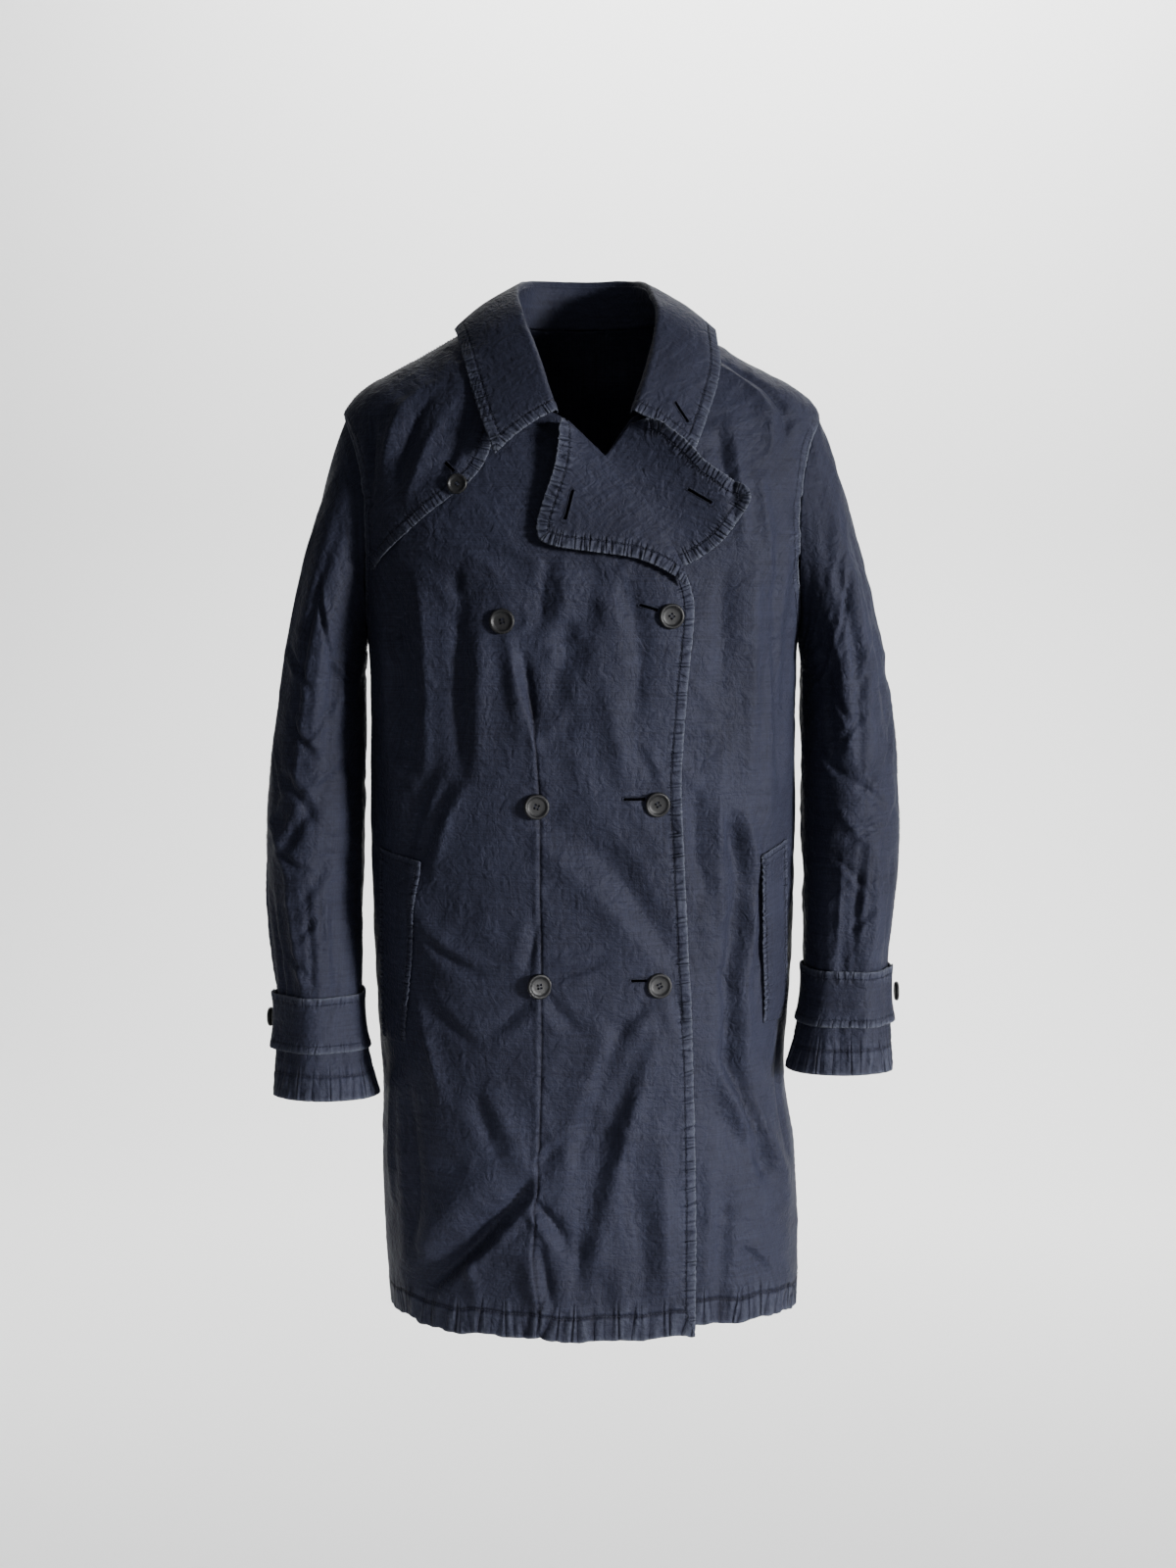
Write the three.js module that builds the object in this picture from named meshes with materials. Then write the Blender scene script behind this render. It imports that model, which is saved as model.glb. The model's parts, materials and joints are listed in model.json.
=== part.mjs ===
// A short double-breasted trench coat in one layer of navy cotton, hollow as it hangs when worn.
// Millimetres, +Z up, the front faces -Y. The origin is the centre of the neck base, where the
// wearer's shoulders carry the coat. Right and left are the wearer's, so right is the -X side.
import * as THREE from 'three';
import { mergeVertices } from 'three/addons/utils/BufferGeometryUtils.js';

// Driving sizes
const CLOTH = 2;             // wall of one layer with its turnings
const GAP = 0.3;             // between pieces that are sewn together
const HEM_Z = -916;
const NECK_Z = 0;            // top of the back, where the collar is set on
const SHOULDER_TIP_Z = -86;
const UNDERARM_Z = -290;
const ARMHOLE_FRONT = 58;    // how far the armhole reaches forward of the side line
const ARMHOLE_BACK = 64;
const BREAK_Z = -231;        // where the lapels start to fold back
const GORGE_Z = -92;         // where collar and lapel meet
const CENTRE_FRONT = 10;     // the closing lies a little to the wearer's left
const GIRTH = 175;           // millimetres of cloth a radian round the body, near enough for folds

// Steps of each piece's grid, up and across
const STEPS = {
  legs: 15, arms: 9, shoulders: 5, front: 13, back: 20, flap: 12, lapelUp: 12, lapelAcross: 5,
  standUp: 3, standAcross: 26, fallUp: 5, fallAcross: 30, sleeveUp: 20, sleeveAcross: 11,
  strapUp: 2, strapAcross: 34, weltUp: 8, weltAcross: 3, button: 16,
};

// Horizontal sections of the body, a row for each level
const BODY = [
  { z: -916, width: 194, front: 150, back: 140, square: 2.3, shift: 10 },
  { z: -850, width: 197, front: 149, back: 138, square: 2.3, shift: 8 },
  { z: -770, width: 196, front: 147, back: 135, square: 2.3, shift: 5 },
  { z: -700, width: 191, front: 144, back: 131, square: 2.3, shift: 0 },
  { z: -600, width: 196, front: 140, back: 127, square: 2.35, shift: 0 },
  { z: -460, width: 199, front: 137, back: 125, square: 2.4, shift: 0 },
  { z: -360, width: 199, front: 138, back: 129, square: 2.4, shift: 0 },
  { z: -290, width: 201, front: 138, back: 132, square: 2.4, shift: 0 },
  { z: -230, width: 208, front: 133, back: 133, square: 2.4, shift: 0 },
  { z: -160, width: 216, front: 120, back: 130, square: 2.3, shift: 0 },
  { z: -110, width: 221, front: 105, back: 120, square: 2.2, shift: 0 },
  { z: -84, width: 220, front: 94, back: 110, square: 2.1, shift: 0 },
  { z: -66, width: 206, front: 86, back: 102, square: 2.05, shift: 0 },
  { z: -52, width: 184, front: 80, back: 95, square: 2, shift: 0 },
  { z: -36, width: 152, front: 73, back: 87, square: 2, shift: 0 },
  { z: -18, width: 121, front: 66, back: 77, square: 2, shift: 0 },
  { z: 0, width: 78, front: 58, back: 66, square: 2, shift: 0 },
];

// Lines on the front, as x for each level: the panels' free edges, roll lines and necklines
const TOP_EDGE = [
  { z: -916, x: 101 }, { z: -790, x: 101 }, { z: -650, x: 98 }, { z: -545, x: 93 },
  { z: -428, x: 87 }, { z: -336, x: 92 }, { z: -262, x: 98 }, { z: -231, x: 91 },
  { z: -205, x: 78 }, { z: -170, x: 57 }, { z: -127, x: 18 }, { z: -92, x: -19 },
  { z: -84, x: -34 }, { z: -62, x: -52 }, { z: -30, x: -65 }, { z: 0, x: -72 },
];
const UNDER_EDGE = [
  { z: -916, x: -80 }, { z: -262, x: -78 }, { z: -231, x: -72 }, { z: -205, x: -52 },
  { z: -170, x: -22 }, { z: -127, x: 18 }, { z: -92, x: 44 }, { z: -84, x: 58 },
  { z: -62, x: 72 }, { z: -30, x: 76 }, { z: 0, x: 76 },
];
const FLAP_EDGE = [
  { z: -228, x: -190 }, { z: -206, x: -170 }, { z: -176, x: -134 }, { z: -150, x: -100 },
  { z: -126, x: -84 }, { z: -84, x: -74 }, { z: -30, x: -74 }, { z: 0, x: -75 },
];

// The flap's lowest and highest level, and how far short of the armhole it ends, in millimetres
// and as a turn in radians
const FLAP = { low: -226, high: -3, short: 4, turn: 0.02 };

// The largest folds: from one point to another (angle round the body in degrees, level), how wide
// and how deep; a negative depth is a trough. 90 is the centre front, 270 the centre back.
const FOLDS = [
  { angle: 106, z: -795, toAngle: 141, toZ: -885, width: 22, depth: -11 },
  { angle: 112, z: -770, toAngle: 150, toZ: -868, width: 26, depth: 8 },
  { angle: 103, z: -835, toAngle: 97, toZ: -900, width: 22, depth: 6 },
  { angle: 80, z: -690, toAngle: 103, toZ: -780, width: 20, depth: -5 },
  { angle: 142, z: -490, toAngle: 128, toZ: -400, width: 18, depth: -5 },
  { angle: 146, z: -500, toAngle: 120, toZ: -600, width: 24, depth: 5 },
  { angle: 50, z: -720, toAngle: 30, toZ: -790, width: 22, depth: -8 },
  { angle: 44, z: -700, toAngle: 22, toZ: -800, width: 22, depth: 7 },
  { angle: 152, z: -250, toAngle: 148, toZ: -450, width: 20, depth: 5 },
  { angle: 140, z: -240, toAngle: 138, toZ: -400, width: 16, depth: -4 },
  { angle: 32, z: -220, toAngle: 36, toZ: -450, width: 20, depth: 5 },
  { angle: 22, z: -250, toAngle: 26, toZ: -420, width: 16, depth: -4 },
  { angle: 215, z: -600, toAngle: 222, toZ: -916, width: 34, depth: 8 },
  { angle: 240, z: -640, toAngle: 246, toZ: -916, width: 30, depth: -8 },
  { angle: 285, z: -560, toAngle: 280, toZ: -916, width: 34, depth: 8 },
  { angle: 312, z: -640, toAngle: 318, toZ: -916, width: 32, depth: -8 },
  { angle: 212, z: -190, toAngle: 228, toZ: -360, width: 24, depth: 6 },
  { angle: 328, z: -190, toAngle: 312, toZ: -360, width: 24, depth: 6 },
];

// Sections of a sleeve below its cap; lift raises the wearer's left one, which is pushed up a little
const SLEEVE = [
  { z: -330, x: 244, y: 6, width: 40, depth: 76 },
  { z: -383, x: 247.5, y: 4, width: 43.5, depth: 75 },
  { z: -456, x: 250.5, y: -3, width: 46, depth: 71 },
  { z: -520, x: 250.5, y: -12, width: 45, depth: 66 },
  { z: -577, x: 247.5, y: -24, width: 42, depth: 58 },
  { z: -615, x: 245, y: -34, width: 39.5, depth: 49 },
  { z: -645, x: 243.5, y: -41, width: 39.5, depth: 44 },
  { z: -672, x: 242, y: -47, width: 43.5, depth: 42 },
  { z: -710, x: 238, y: -55, width: 50, depth: 42 },
];
const CAP_Z = -330;
const CAP_SHARE = 0.38;      // the part of the sleeve's rows that lies in the cap
const CAP_STANDS_OFF = 1.7;  // the cap starts this far outside the body's edge
const SLEEVE_LIFT = { right: 0, left: 24 };
const CUFF_Z = -710;
// The strap's levels and lift, its start and overlap in degrees, and the shares of its length where
// it climbs over its own start and where its end comes to a point
const STRAP = {
  top: -618, bottom: -668, lift: 0.8, start: 12, overlap: 30, climbFrom: 0.87, climbTo: 0.925,
  pointFrom: 0.965,
};
const GATHERS = { count: 5, depth: 3.2, reach: 150 };
const LOOSE = 2.2;           // room between two layers that lie on each other
const HIND_SEAM = [
  { z: 0, x: -52 }, { z: 0.18, x: -22 }, { z: 0.38, x: 2 }, { z: 0.6, x: 12 }, { z: 1, x: 14 },
];
const FORE_SEAM_ANGLE = 168;

// Stations of the collar from the centre back to the front end: the seam on the neck, the roll
// line and the outer edge. Where edgeY is missing the edge lies on the body.
const COLLAR = [
  { neck: [0, 66, 0.6], roll: [0, 76, 44], edge: [0, 94, -24] },
  { neck: [48, 51, 0.6], roll: [45, 58, 43], edge: [78, 80, -28] },
  { neck: [75, 2, 1.6], roll: [58, 5, 33], edge: [115, 4, -7] },
  { neck: [73, -17, 1.6], roll: [60, -15, 23], edge: [116, -28, -15] },
  { neck: [68, -38, -3], roll: [60, -41, 5], edge: [112, -60, -48] },
  { neck: [60, -73, -48], roll: [48, -72, -39], edge: [102, -80, -84] },
  { neck: [38, -86, -83], roll: [32, -94, -89], edge: [86, -100, -127] },
];

const BUTTONS = [
  { name: 'button_front_1', x: -71, z: -273, radius: 11.35 },
  { name: 'button_front_2', x: 78, z: -269, radius: 11.35 },
  { name: 'button_front_3', x: -41, z: -437, radius: 11.35 },
  { name: 'button_front_4', x: 66, z: -435, radius: 11.35 },
  { name: 'button_front_5', x: -39, z: -597, radius: 11.35 },
  { name: 'button_front_6', x: 68, z: -597, radius: 11.35 },
  { name: 'button_flap', x: -111, z: -152, radius: 9.2 },
];
const BUTTON_HEIGHT = 3.6;
const CUFF_BUTTON = { radius: 9, angle: -4 };

const POCKETS = [
  { name: 'pocket_right', topX: [-186, -146], bottomX: [-186, -163], top: [-482, -490], bottom: -658, above: 2.1 },
  { name: 'pocket_left', topX: [186, 160], bottomX: [188, 166], top: [-474, -486], bottom: -640, above: 0.9 },
];

const cloth = new THREE.MeshStandardMaterial({ color: 0x272f46, roughness: 0.75, metalness: 0 });
const horn = new THREE.MeshStandardMaterial({ color: 0x2b2c31, roughness: 0.35, metalness: 0 });

// The named columns of a table at one level, on a smooth curve through its rows
function tableAt(rows, z) {
  const ascending = rows[0].z < rows[rows.length - 1].z ? rows : [...rows].reverse();
  const last = ascending.length - 2;
  let i = 0;
  while (i < last && z > ascending[i + 1].z) i += 1;
  const [a, b] = [ascending[i], ascending[i + 1]];
  const before = ascending[Math.max(i - 1, 0)];
  const after = ascending[Math.min(i + 2, last + 1)];
  const t = THREE.MathUtils.clamp((z - a.z) / (b.z - a.z), 0, 1);
  const result = { z };
  for (const key of Object.keys(a)) {
    if (key === 'z') continue;
    const span = b.z - a.z;
    const slopeA = (b[key] - before[key]) / (b.z - before.z) * span;
    const slopeB = (after[key] - a[key]) / (after.z - a.z) * span;
    result[key] = a[key] * (2 * t ** 3 - 3 * t ** 2 + 1) + slopeA * (t ** 3 - 2 * t ** 2 + t)
      + b[key] * (3 * t ** 2 - 2 * t ** 3) + slopeB * (t ** 3 - t ** 2);
  }
  return result;
}

const power = (value, exponent) => Math.sign(value) * Math.abs(value) ** exponent;
const smooth = (value, from, to) => THREE.MathUtils.smoothstep(value, from, to);

// A point of the body's smooth form; angle 0 is the wearer's left side, 90 degrees the front
function formPoint(angle, z) {
  const ring = tableAt(BODY, z);
  const depth = Math.sin(angle) > 0 ? ring.front : ring.back;
  return new THREE.Vector3(
    ring.shift + ring.width * power(Math.cos(angle), 2 / ring.square),
    -depth * power(Math.sin(angle), 2 / ring.square),
    z,
  );
}

// The angle round the front at which the form has this x
function angleAt(x, z) {
  const ring = tableAt(BODY, z);
  const share = THREE.MathUtils.clamp((x - ring.shift) / ring.width, -1, 1);
  return Math.acos(power(share, ring.square / 2));
}

// How far the folds move the cloth out or in at a point of the body
function foldDepth(angle, z) {
  let total = 0;
  for (const fold of FOLDS) {
    const ax = THREE.MathUtils.degToRad(fold.angle) * GIRTH;
    const bx = THREE.MathUtils.degToRad(fold.toAngle) * GIRTH;
    const [px, dx, dz] = [angle * GIRTH - ax, bx - ax, fold.toZ - fold.z];
    const along = THREE.MathUtils.clamp((px * dx + (z - fold.z) * dz) / (dx * dx + dz * dz), 0, 1);
    const across = Math.hypot(px - along * dx, z - fold.z - along * dz);
    const fade = Math.sin(Math.PI * (0.12 + 0.76 * along));
    total += fold.depth * fade * Math.exp(-((across / fold.width) ** 2) * 2);
  }
  return total;
}

// A point of the cloth on the body, moved out by a lift from its outer face
function bodyPoint(angle, z, lift = 0) {
  const step = 0.004;
  const round = formPoint(angle + step, z).sub(formPoint(angle - step, z));
  const up = formPoint(angle, z + 1).sub(formPoint(angle, z - 1));
  const normal = up.cross(round).normalize();
  return formPoint(angle, z).addScaledVector(normal, foldDepth(angle, z) + lift);
}

const onFront = (x, z, lift = 0) => bodyPoint(angleAt(x, z), z, lift);

// A grid of points moved along its own normals; its rows go up and its columns go round
function moved(grid, lift) {
  return grid.map((row, j) => row.map((point, i) => {
    const up = grid[Math.min(j + 1, grid.length - 1)][i].clone().sub(grid[Math.max(j - 1, 0)][i]);
    const round = row[Math.min(i + 1, row.length - 1)].clone().sub(row[Math.max(i - 1, 0)]);
    return point.clone().addScaledVector(up.cross(round).normalize(), lift);
  }));
}

// A closed wall between an outer grid of points and an inner one
function wall(outer, inner = moved(outer, -CLOTH)) {
  const rows = outer.length;
  const columns = outer[0].length;
  const points = [...outer.flat(), ...inner.flat()];
  const index = [];
  const half = rows * columns;
  const quad = (a, b, c, d) => index.push(a, b, c, a, c, d);
  for (let j = 0; j < rows - 1; j += 1) {
    for (let i = 0; i < columns - 1; i += 1) {
      const a = j * columns + i;
      quad(a, a + columns, a + columns + 1, a + 1);
      quad(half + a, half + a + 1, half + a + columns + 1, half + a + columns);
    }
  }
  const rim = [];
  for (let i = 0; i < columns - 1; i += 1) rim.push(i);
  for (let j = 0; j < rows - 1; j += 1) rim.push(j * columns + columns - 1);
  for (let i = columns - 1; i > 0; i -= 1) rim.push((rows - 1) * columns + i);
  for (let j = rows - 1; j > 0; j -= 1) rim.push(j * columns);
  rim.forEach((a, k) => {
    const b = rim[(k + 1) % rim.length];
    quad(a, b, half + b, half + a);
  });
  const geometry = new THREE.BufferGeometry();
  const positions = points.flatMap((point) => point.toArray());
  geometry.setAttribute('position', new THREE.Float32BufferAttribute(positions, 3));
  geometry.setIndex(index);
  return geometry;
}

// A wall from a function that gives a piece's grid at any lift
const sheet = (make) => wall(make(0), make(-CLOTH));

const spread = (count, make) => Array.from({ length: count + 1 }, (_, i) => make(i / count));
const mix = THREE.MathUtils.lerp;

// Levels of the body's rows: even below the arms, closer at both ends of the armhole
function bodyLevels(low = HEM_Z, high = NECK_Z) {
  const armMiddle = (SHOULDER_TIP_Z + UNDERARM_Z) / 2;
  const armHalf = (SHOULDER_TIP_Z - UNDERARM_Z) / 2;
  const levels = [
    ...spread(STEPS.legs, (t) => mix(HEM_Z, UNDERARM_Z, t)),
    ...spread(STEPS.arms, (t) => armMiddle - armHalf * Math.cos(Math.PI * t)).slice(1),
    ...spread(STEPS.shoulders, (t) => mix(SHOULDER_TIP_Z, NECK_Z, t)).slice(1),
  ];
  const nearest = 4;
  return [low, ...levels.filter((z) => z > low + nearest && z < high - nearest), high];
}

// How far the armhole's edge lies from the side line at a level
function armholeReach(z, size) {
  const middle = (SHOULDER_TIP_Z + UNDERARM_Z) / 2;
  const share = (z - middle) / ((SHOULDER_TIP_Z - UNDERARM_Z) / 2);
  return Math.abs(share) < 1 ? size * Math.sqrt(1 - share ** 2) : 0;
}

// The angle, measured from the side line, at which a panel ends at the side seam, armhole or shoulder
function sideAngle(z, size, depthKey) {
  const ring = tableAt(BODY, z);
  const reach = Math.max(armholeReach(z, size), GAP / 2);
  return Math.asin((reach / ring[depthKey]) ** (ring.square / 2));
}

const frontPanel = (right) => (lift) => {
  const edge = right ? TOP_EDGE : UNDER_EDGE;
  return bodyLevels().map((z) => {
    const side = sideAngle(z, ARMHOLE_FRONT, 'front');
    const free = angleAt(tableAt(edge, z).x, z);
    const [from, to] = right ? [free, Math.PI - side] : [side, free];
    return spread(STEPS.front, (t) => {
      const angle = mix(from, to, t);
      const sunk = right ? 0 : underLift(formPoint(angle, z).x, z);
      return bodyPoint(angle, z, lift + sunk);
    });
  });
};

// How much of the under front is covered by the top one at a point, from 0 to 1
function covered(x, z) {
  const [starts, ends] = [6, 90];
  const edge = tableAt(TOP_EDGE, THREE.MathUtils.clamp(z, HEM_Z, GORGE_Z)).x;
  return 1 - smooth(x, edge + starts, edge + ends);
}

// The under front lies inside the top one, deeper still where its own lapel lies between them
function underLift(x, z) {
  const ownLapel = smooth(z, BREAK_Z - 60, BREAK_Z - 5);
  const looseSkirt = 1.2 * (1 - smooth(z, -720, -620));
  return -(CLOTH + LOOSE) * (1 + ownLapel + looseSkirt) * covered(x, z);
}

const backPanel = (lift) => bodyLevels().map((z) => {
  const side = sideAngle(z, ARMHOLE_BACK, 'back');
  return spread(STEPS.back, (t) => bodyPoint(mix(Math.PI + side, 2 * Math.PI - side, t), z, lift));
});

const stormFlap = (lift) => bodyLevels(FLAP.low, FLAP.high).map((z) => {
  const from = angleAt(tableAt(FLAP_EDGE, z).x, z);
  const to = Math.PI - sideAngle(z, ARMHOLE_FRONT + FLAP.short, 'front') - FLAP.turn;
  return spread(STEPS.flap, (t) => bodyPoint(mix(from, to, t), z, lift + CLOTH + LOOSE));
});

// A smooth line through points given as [x, z] on the front
function line(points) {
  return new THREE.CatmullRomCurve3(points.map(([x, z]) => new THREE.Vector3(x, 0, z)), false, 'centripetal');
}

// A lapel between its roll line and its outer edge, lying on the front with a soft swell
const lapel = (roll, outer, height) => (lift) => {
  const [rollLine, outerLine] = [line(roll), line(outer)];
  return spread(STEPS.lapelUp, (v) => {
    const [near, far] = [rollLine.getPointAt(v), outerLine.getPointAt(v)];
    return spread(STEPS.lapelAcross, (u) => {
      const [x, z] = [mix(near.x, far.x, u), mix(near.z, far.z, u)];
      return onFront(x, z, lift + height(x, z, Math.sin(Math.PI * u)));
    });
  });
};

const LAPEL_LIFT = CLOTH + 1;
const LAPEL_SWELL = 3;
const topLapel = lapel(
  [[88, -229], [78, -207], [57, -171], [18, -128], [-14, -97]],
  [[88, -242], [60, -219], [30, -213], [-12, -208], [-36, -201], [-40, -190], [-32, -160], [-22, -110]],
  (x, z, swell) => LAPEL_LIFT + LAPEL_SWELL * swell,
);
const underLapel = lapel(
  [[-40, -190], [-6, -152], [24, -122], [44, -98]].reverse(),
  [[0, -240], [60, -222], [108, -208], [131, -187], [139, -170], [128, -160], [90, -128], [56, -103]].reverse(),
  (x, z, swell) => underLift(x, z) + LAPEL_LIFT + LAPEL_SWELL * swell * (1 - covered(x, z)),
);

// The collar's half table as full curves from the wearer's right end to the left end
function collarCurve(key) {
  const place = (sign) => ([x, y, z]) => {
    const forward = smooth(-y, 0, 70);
    return new THREE.Vector3(sign * x + CENTRE_FRONT * forward, y, z);
  };
  const half = COLLAR.map((station) => station[key]);
  const right = half.slice(1).reverse().map(place(-1));
  return new THREE.CatmullRomCurve3([...right, ...half.map(place(1))], false, 'centripetal');
}

// Keeps a point of the collar clear of the cloth that it lies on
function clearOfBody(point, lift) {
  const ring = tableAt(BODY, THREE.MathUtils.clamp(point.z, HEM_Z, NECK_Z));
  const share = Math.abs(point.x / ring.width);
  if (point.z > NECK_Z || share > 0.97) return point;
  const depth = point.y < 0 ? ring.front : ring.back;
  const surface = depth * (1 - share ** ring.square) ** (1 / ring.square) + lift;
  point.y = Math.sign(point.y) * Math.max(Math.abs(point.y), surface);
  return point;
}

function collarStand() {
  const [neck, roll] = [collarCurve('neck'), collarCurve('roll')];
  const [inset, height] = [0.015, 0.82];
  return spread(STEPS.standUp, (v) => spread(STEPS.standAcross, (u) => {
    const at = mix(1 - inset, inset, u);
    const low = neck.getPoint(at);
    return low.lerp(roll.getPoint(at), height * v);
  }));
}

function collarFall() {
  const [roll, edge] = [collarCurve('roll'), collarCurve('edge')];
  const [out, up, fullness] = [2.4, 1.5, 3.5];
  return spread(STEPS.fallUp, (v) => spread(STEPS.fallAcross, (u) => {
    const point = edge.getPoint(1 - u).lerp(roll.getPoint(1 - u), v);
    const away = point.clone().setZ(0).normalize();
    const swell = fullness * Math.sin(Math.PI * v);
    point.addScaledVector(away, out + swell);
    point.z += up + swell;
    return clearOfBody(point, 2 * CLOTH + 2 * LOOSE + 1);
  }));
}

// A point of the armhole's edge; 0 is the shoulder tip and 90 degrees the front
function armholePoint(sign, angle) {
  const middle = (SHOULDER_TIP_Z + UNDERARM_Z) / 2;
  const z = middle + (SHOULDER_TIP_Z - UNDERARM_Z) / 2 * Math.cos(angle);
  const ring = tableAt(BODY, z);
  const forward = Math.sin(angle) > 0;
  const reach = Math.abs(Math.sin(angle)) * (forward ? ARMHOLE_FRONT : ARMHOLE_BACK);
  const depth = forward ? ring.front : ring.back;
  const x = ring.width * (1 - (reach / depth) ** ring.square) ** (1 / ring.square);
  return new THREE.Vector3(sign * x, forward ? -reach : reach, z);
}

// A point of the sleeve below the cap, with the gathers that its strap draws in
function sleeveRing(sign, angle, z) {
  const raised = (sign < 0 ? SLEEVE_LIFT.right : SLEEVE_LIFT.left) * smooth(-z, 330, 600);
  const ring = tableAt(SLEEVE, z);
  const above = (z - STRAP.top) / GATHERS.reach;
  const fade = above > 0 ? smooth(1 - above, 0, 1) : smooth(z, CUFF_Z - 20, STRAP.bottom) * 0.6;
  const gather = GATHERS.depth * fade * Math.cos(GATHERS.count * angle + sign);
  return new THREE.Vector3(
    sign * (ring.x + (ring.width + gather * 0.4) * Math.cos(angle)),
    ring.y - (ring.depth + gather) * power(Math.sin(angle), 0.95),
    z + raised,
  );
}

// A point of the sleeve's form; along is 0 at the armhole and 1 at the cuff
function sleeveForm(sign, angle, along) {
  if (along >= CAP_SHARE) {
    return sleeveRing(sign, angle, mix(CAP_Z, CUFF_Z, (along - CAP_SHARE) / (1 - CAP_SHARE)));
  }
  const t = along / CAP_SHARE;
  const start = armholePoint(sign, angle);
  start.x += sign * CAP_STANDS_OFF;
  const end = sleeveRing(sign, angle, CAP_Z);
  const reach = end.distanceTo(start) * 0.8;
  const outward = 0.2 + 0.15 * Math.cos(angle) + 0.5 * Math.sin(angle) ** 2;
  const leave = new THREE.Vector3(sign * outward, -0.15 * Math.sin(angle), -Math.sqrt(1 - outward ** 2));
  const arrive = sleeveRing(sign, angle, CAP_Z - 10).sub(end).normalize();
  return start.multiplyScalar(2 * t ** 3 - 3 * t ** 2 + 1)
    .addScaledVector(leave, reach * (t ** 3 - 2 * t ** 2 + t))
    .addScaledVector(end, 3 * t ** 2 - 2 * t ** 3)
    .addScaledVector(arrive, reach * (t ** 3 - t ** 2));
}

// A point of the sleeve moved out by a lift
function sleevePoint(sign, angle, along, lift) {
  const step = 0.01;
  const round = sleeveForm(sign, angle + step, along).sub(sleeveForm(sign, angle - step, along));
  const [low, high] = [Math.min(along + step, 1), Math.max(along - step, 0)];
  const up = sleeveForm(sign, angle, high).sub(sleeveForm(sign, angle, low));
  return sleeveForm(sign, angle, along).addScaledVector(up.cross(round).normalize(), sign * lift);
}

// One piece of the two-piece sleeve, between the hind seam at the outside and the fore seam inside
const sleevePiece = (sign, top) => (lift) => {
  const seam = THREE.MathUtils.degToRad(0.35);
  return spread(STEPS.sleeveUp, (v) => {
    const along = 1 - v;
    const hind = THREE.MathUtils.degToRad(tableAt(HIND_SEAM, along).x);
    const fore = THREE.MathUtils.degToRad(FORE_SEAM_ANGLE);
    const [from, to] = top ? [hind + seam, fore - seam] : [fore + seam, hind + 2 * Math.PI - seam];
    const row = spread(STEPS.sleeveAcross, (u) => sleevePoint(sign, mix(from, to, u), along, lift));
    return sign > 0 ? row : row.reverse();
  });
};

// How far along the sleeve a level is
const alongAt = (z) => CAP_SHARE + (1 - CAP_SHARE) * (CAP_Z - z) / (CAP_Z - CUFF_Z);

// The strap round the cuff: sewn in at the hind seam, it passes behind, inside and in front, and
// its pointed end lies on its start
const cuffStrap = (sign) => (lift) => {
  const start = THREE.MathUtils.degToRad(STRAP.start);
  const sweep = THREE.MathUtils.degToRad(360 + STRAP.overlap);
  return spread(STEPS.strapUp, (v) => {
    const row = spread(STEPS.strapAcross, (u) => {
      const point = Math.max(0, (u - STRAP.pointFrom) / (1 - STRAP.pointFrom));
      const height = mix(v, 0.5, point * 0.6);
      const over = smooth(u, STRAP.climbFrom, STRAP.climbTo) * (CLOTH + LOOSE);
      const along = alongAt(mix(STRAP.bottom, STRAP.top, height));
      return sleevePoint(sign, start - sweep * u, along, lift + over + CLOTH + STRAP.lift);
    });
    return sign > 0 ? row.reverse() : row;
  });
};

const pocketWelt = (pocket) => (lift) => spread(STEPS.weltUp, (v) => spread(STEPS.weltAcross, (u) => {
  const across = pocket.name === 'pocket_right' ? 1 - u : u;
  const topX = mix(...pocket.topX, across);
  const bottomX = mix(...pocket.bottomX, across);
  const z = mix(pocket.bottom, mix(...pocket.top, across), v);
  return onFront(mix(bottomX, topX, v), z, lift + CLOTH + pocket.above);
}));

// A round button with a raised rim, its axis along +Z
function buttonGeometry(radius) {
  const h = BUTTON_HEIGHT;
  const profile = [
    [0, 0], [radius * 0.8, 0], [radius, h * 0.4], [radius, h * 0.75], [radius * 0.9, h],
    [radius * 0.72, h * 0.72], [0, h * 0.66],
  ];
  const lathe = new THREE.LatheGeometry(profile.map(([x, y]) => new THREE.Vector2(x, y)), STEPS.button);
  return lathe.rotateX(Math.PI / 2);
}

function solid(name, geometry, material) {
  geometry.deleteAttribute('normal');
  geometry.deleteAttribute('uv');
  const merged = mergeVertices(geometry, 1e-3);
  merged.computeVertexNormals();
  const mesh = new THREE.Mesh(merged, material);
  mesh.name = name;
  return mesh;
}

// A button seated on a point, facing along a direction
function button(name, radius, seat, facing) {
  const mesh = solid(name, buttonGeometry(radius), horn);
  mesh.quaternion.setFromUnitVectors(new THREE.Vector3(0, 0, 1), facing.clone().normalize());
  mesh.position.copy(seat);
  return mesh;
}

function frontButton(row) {
  const lift = row.name === 'button_flap' ? CLOTH + LOOSE : 0;
  const seat = onFront(row.x, row.z, lift + GAP);
  const facing = onFront(row.x, row.z, 1).sub(onFront(row.x, row.z));
  return button(row.name, row.radius, seat, facing);
}

function cuffButton(side, sign) {
  const along = alongAt((STRAP.top + STRAP.bottom) / 2);
  const angle = THREE.MathUtils.degToRad(CUFF_BUTTON.angle);
  const out = CLOTH + STRAP.lift + CLOTH + LOOSE;
  const seat = sleevePoint(sign, angle, along, out + 2 * GAP);
  const facing = seat.clone().sub(sleevePoint(sign, angle, along, 0));
  return button(`button_cuff_${side}`, CUFF_BUTTON.radius, seat, facing);
}

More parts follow.
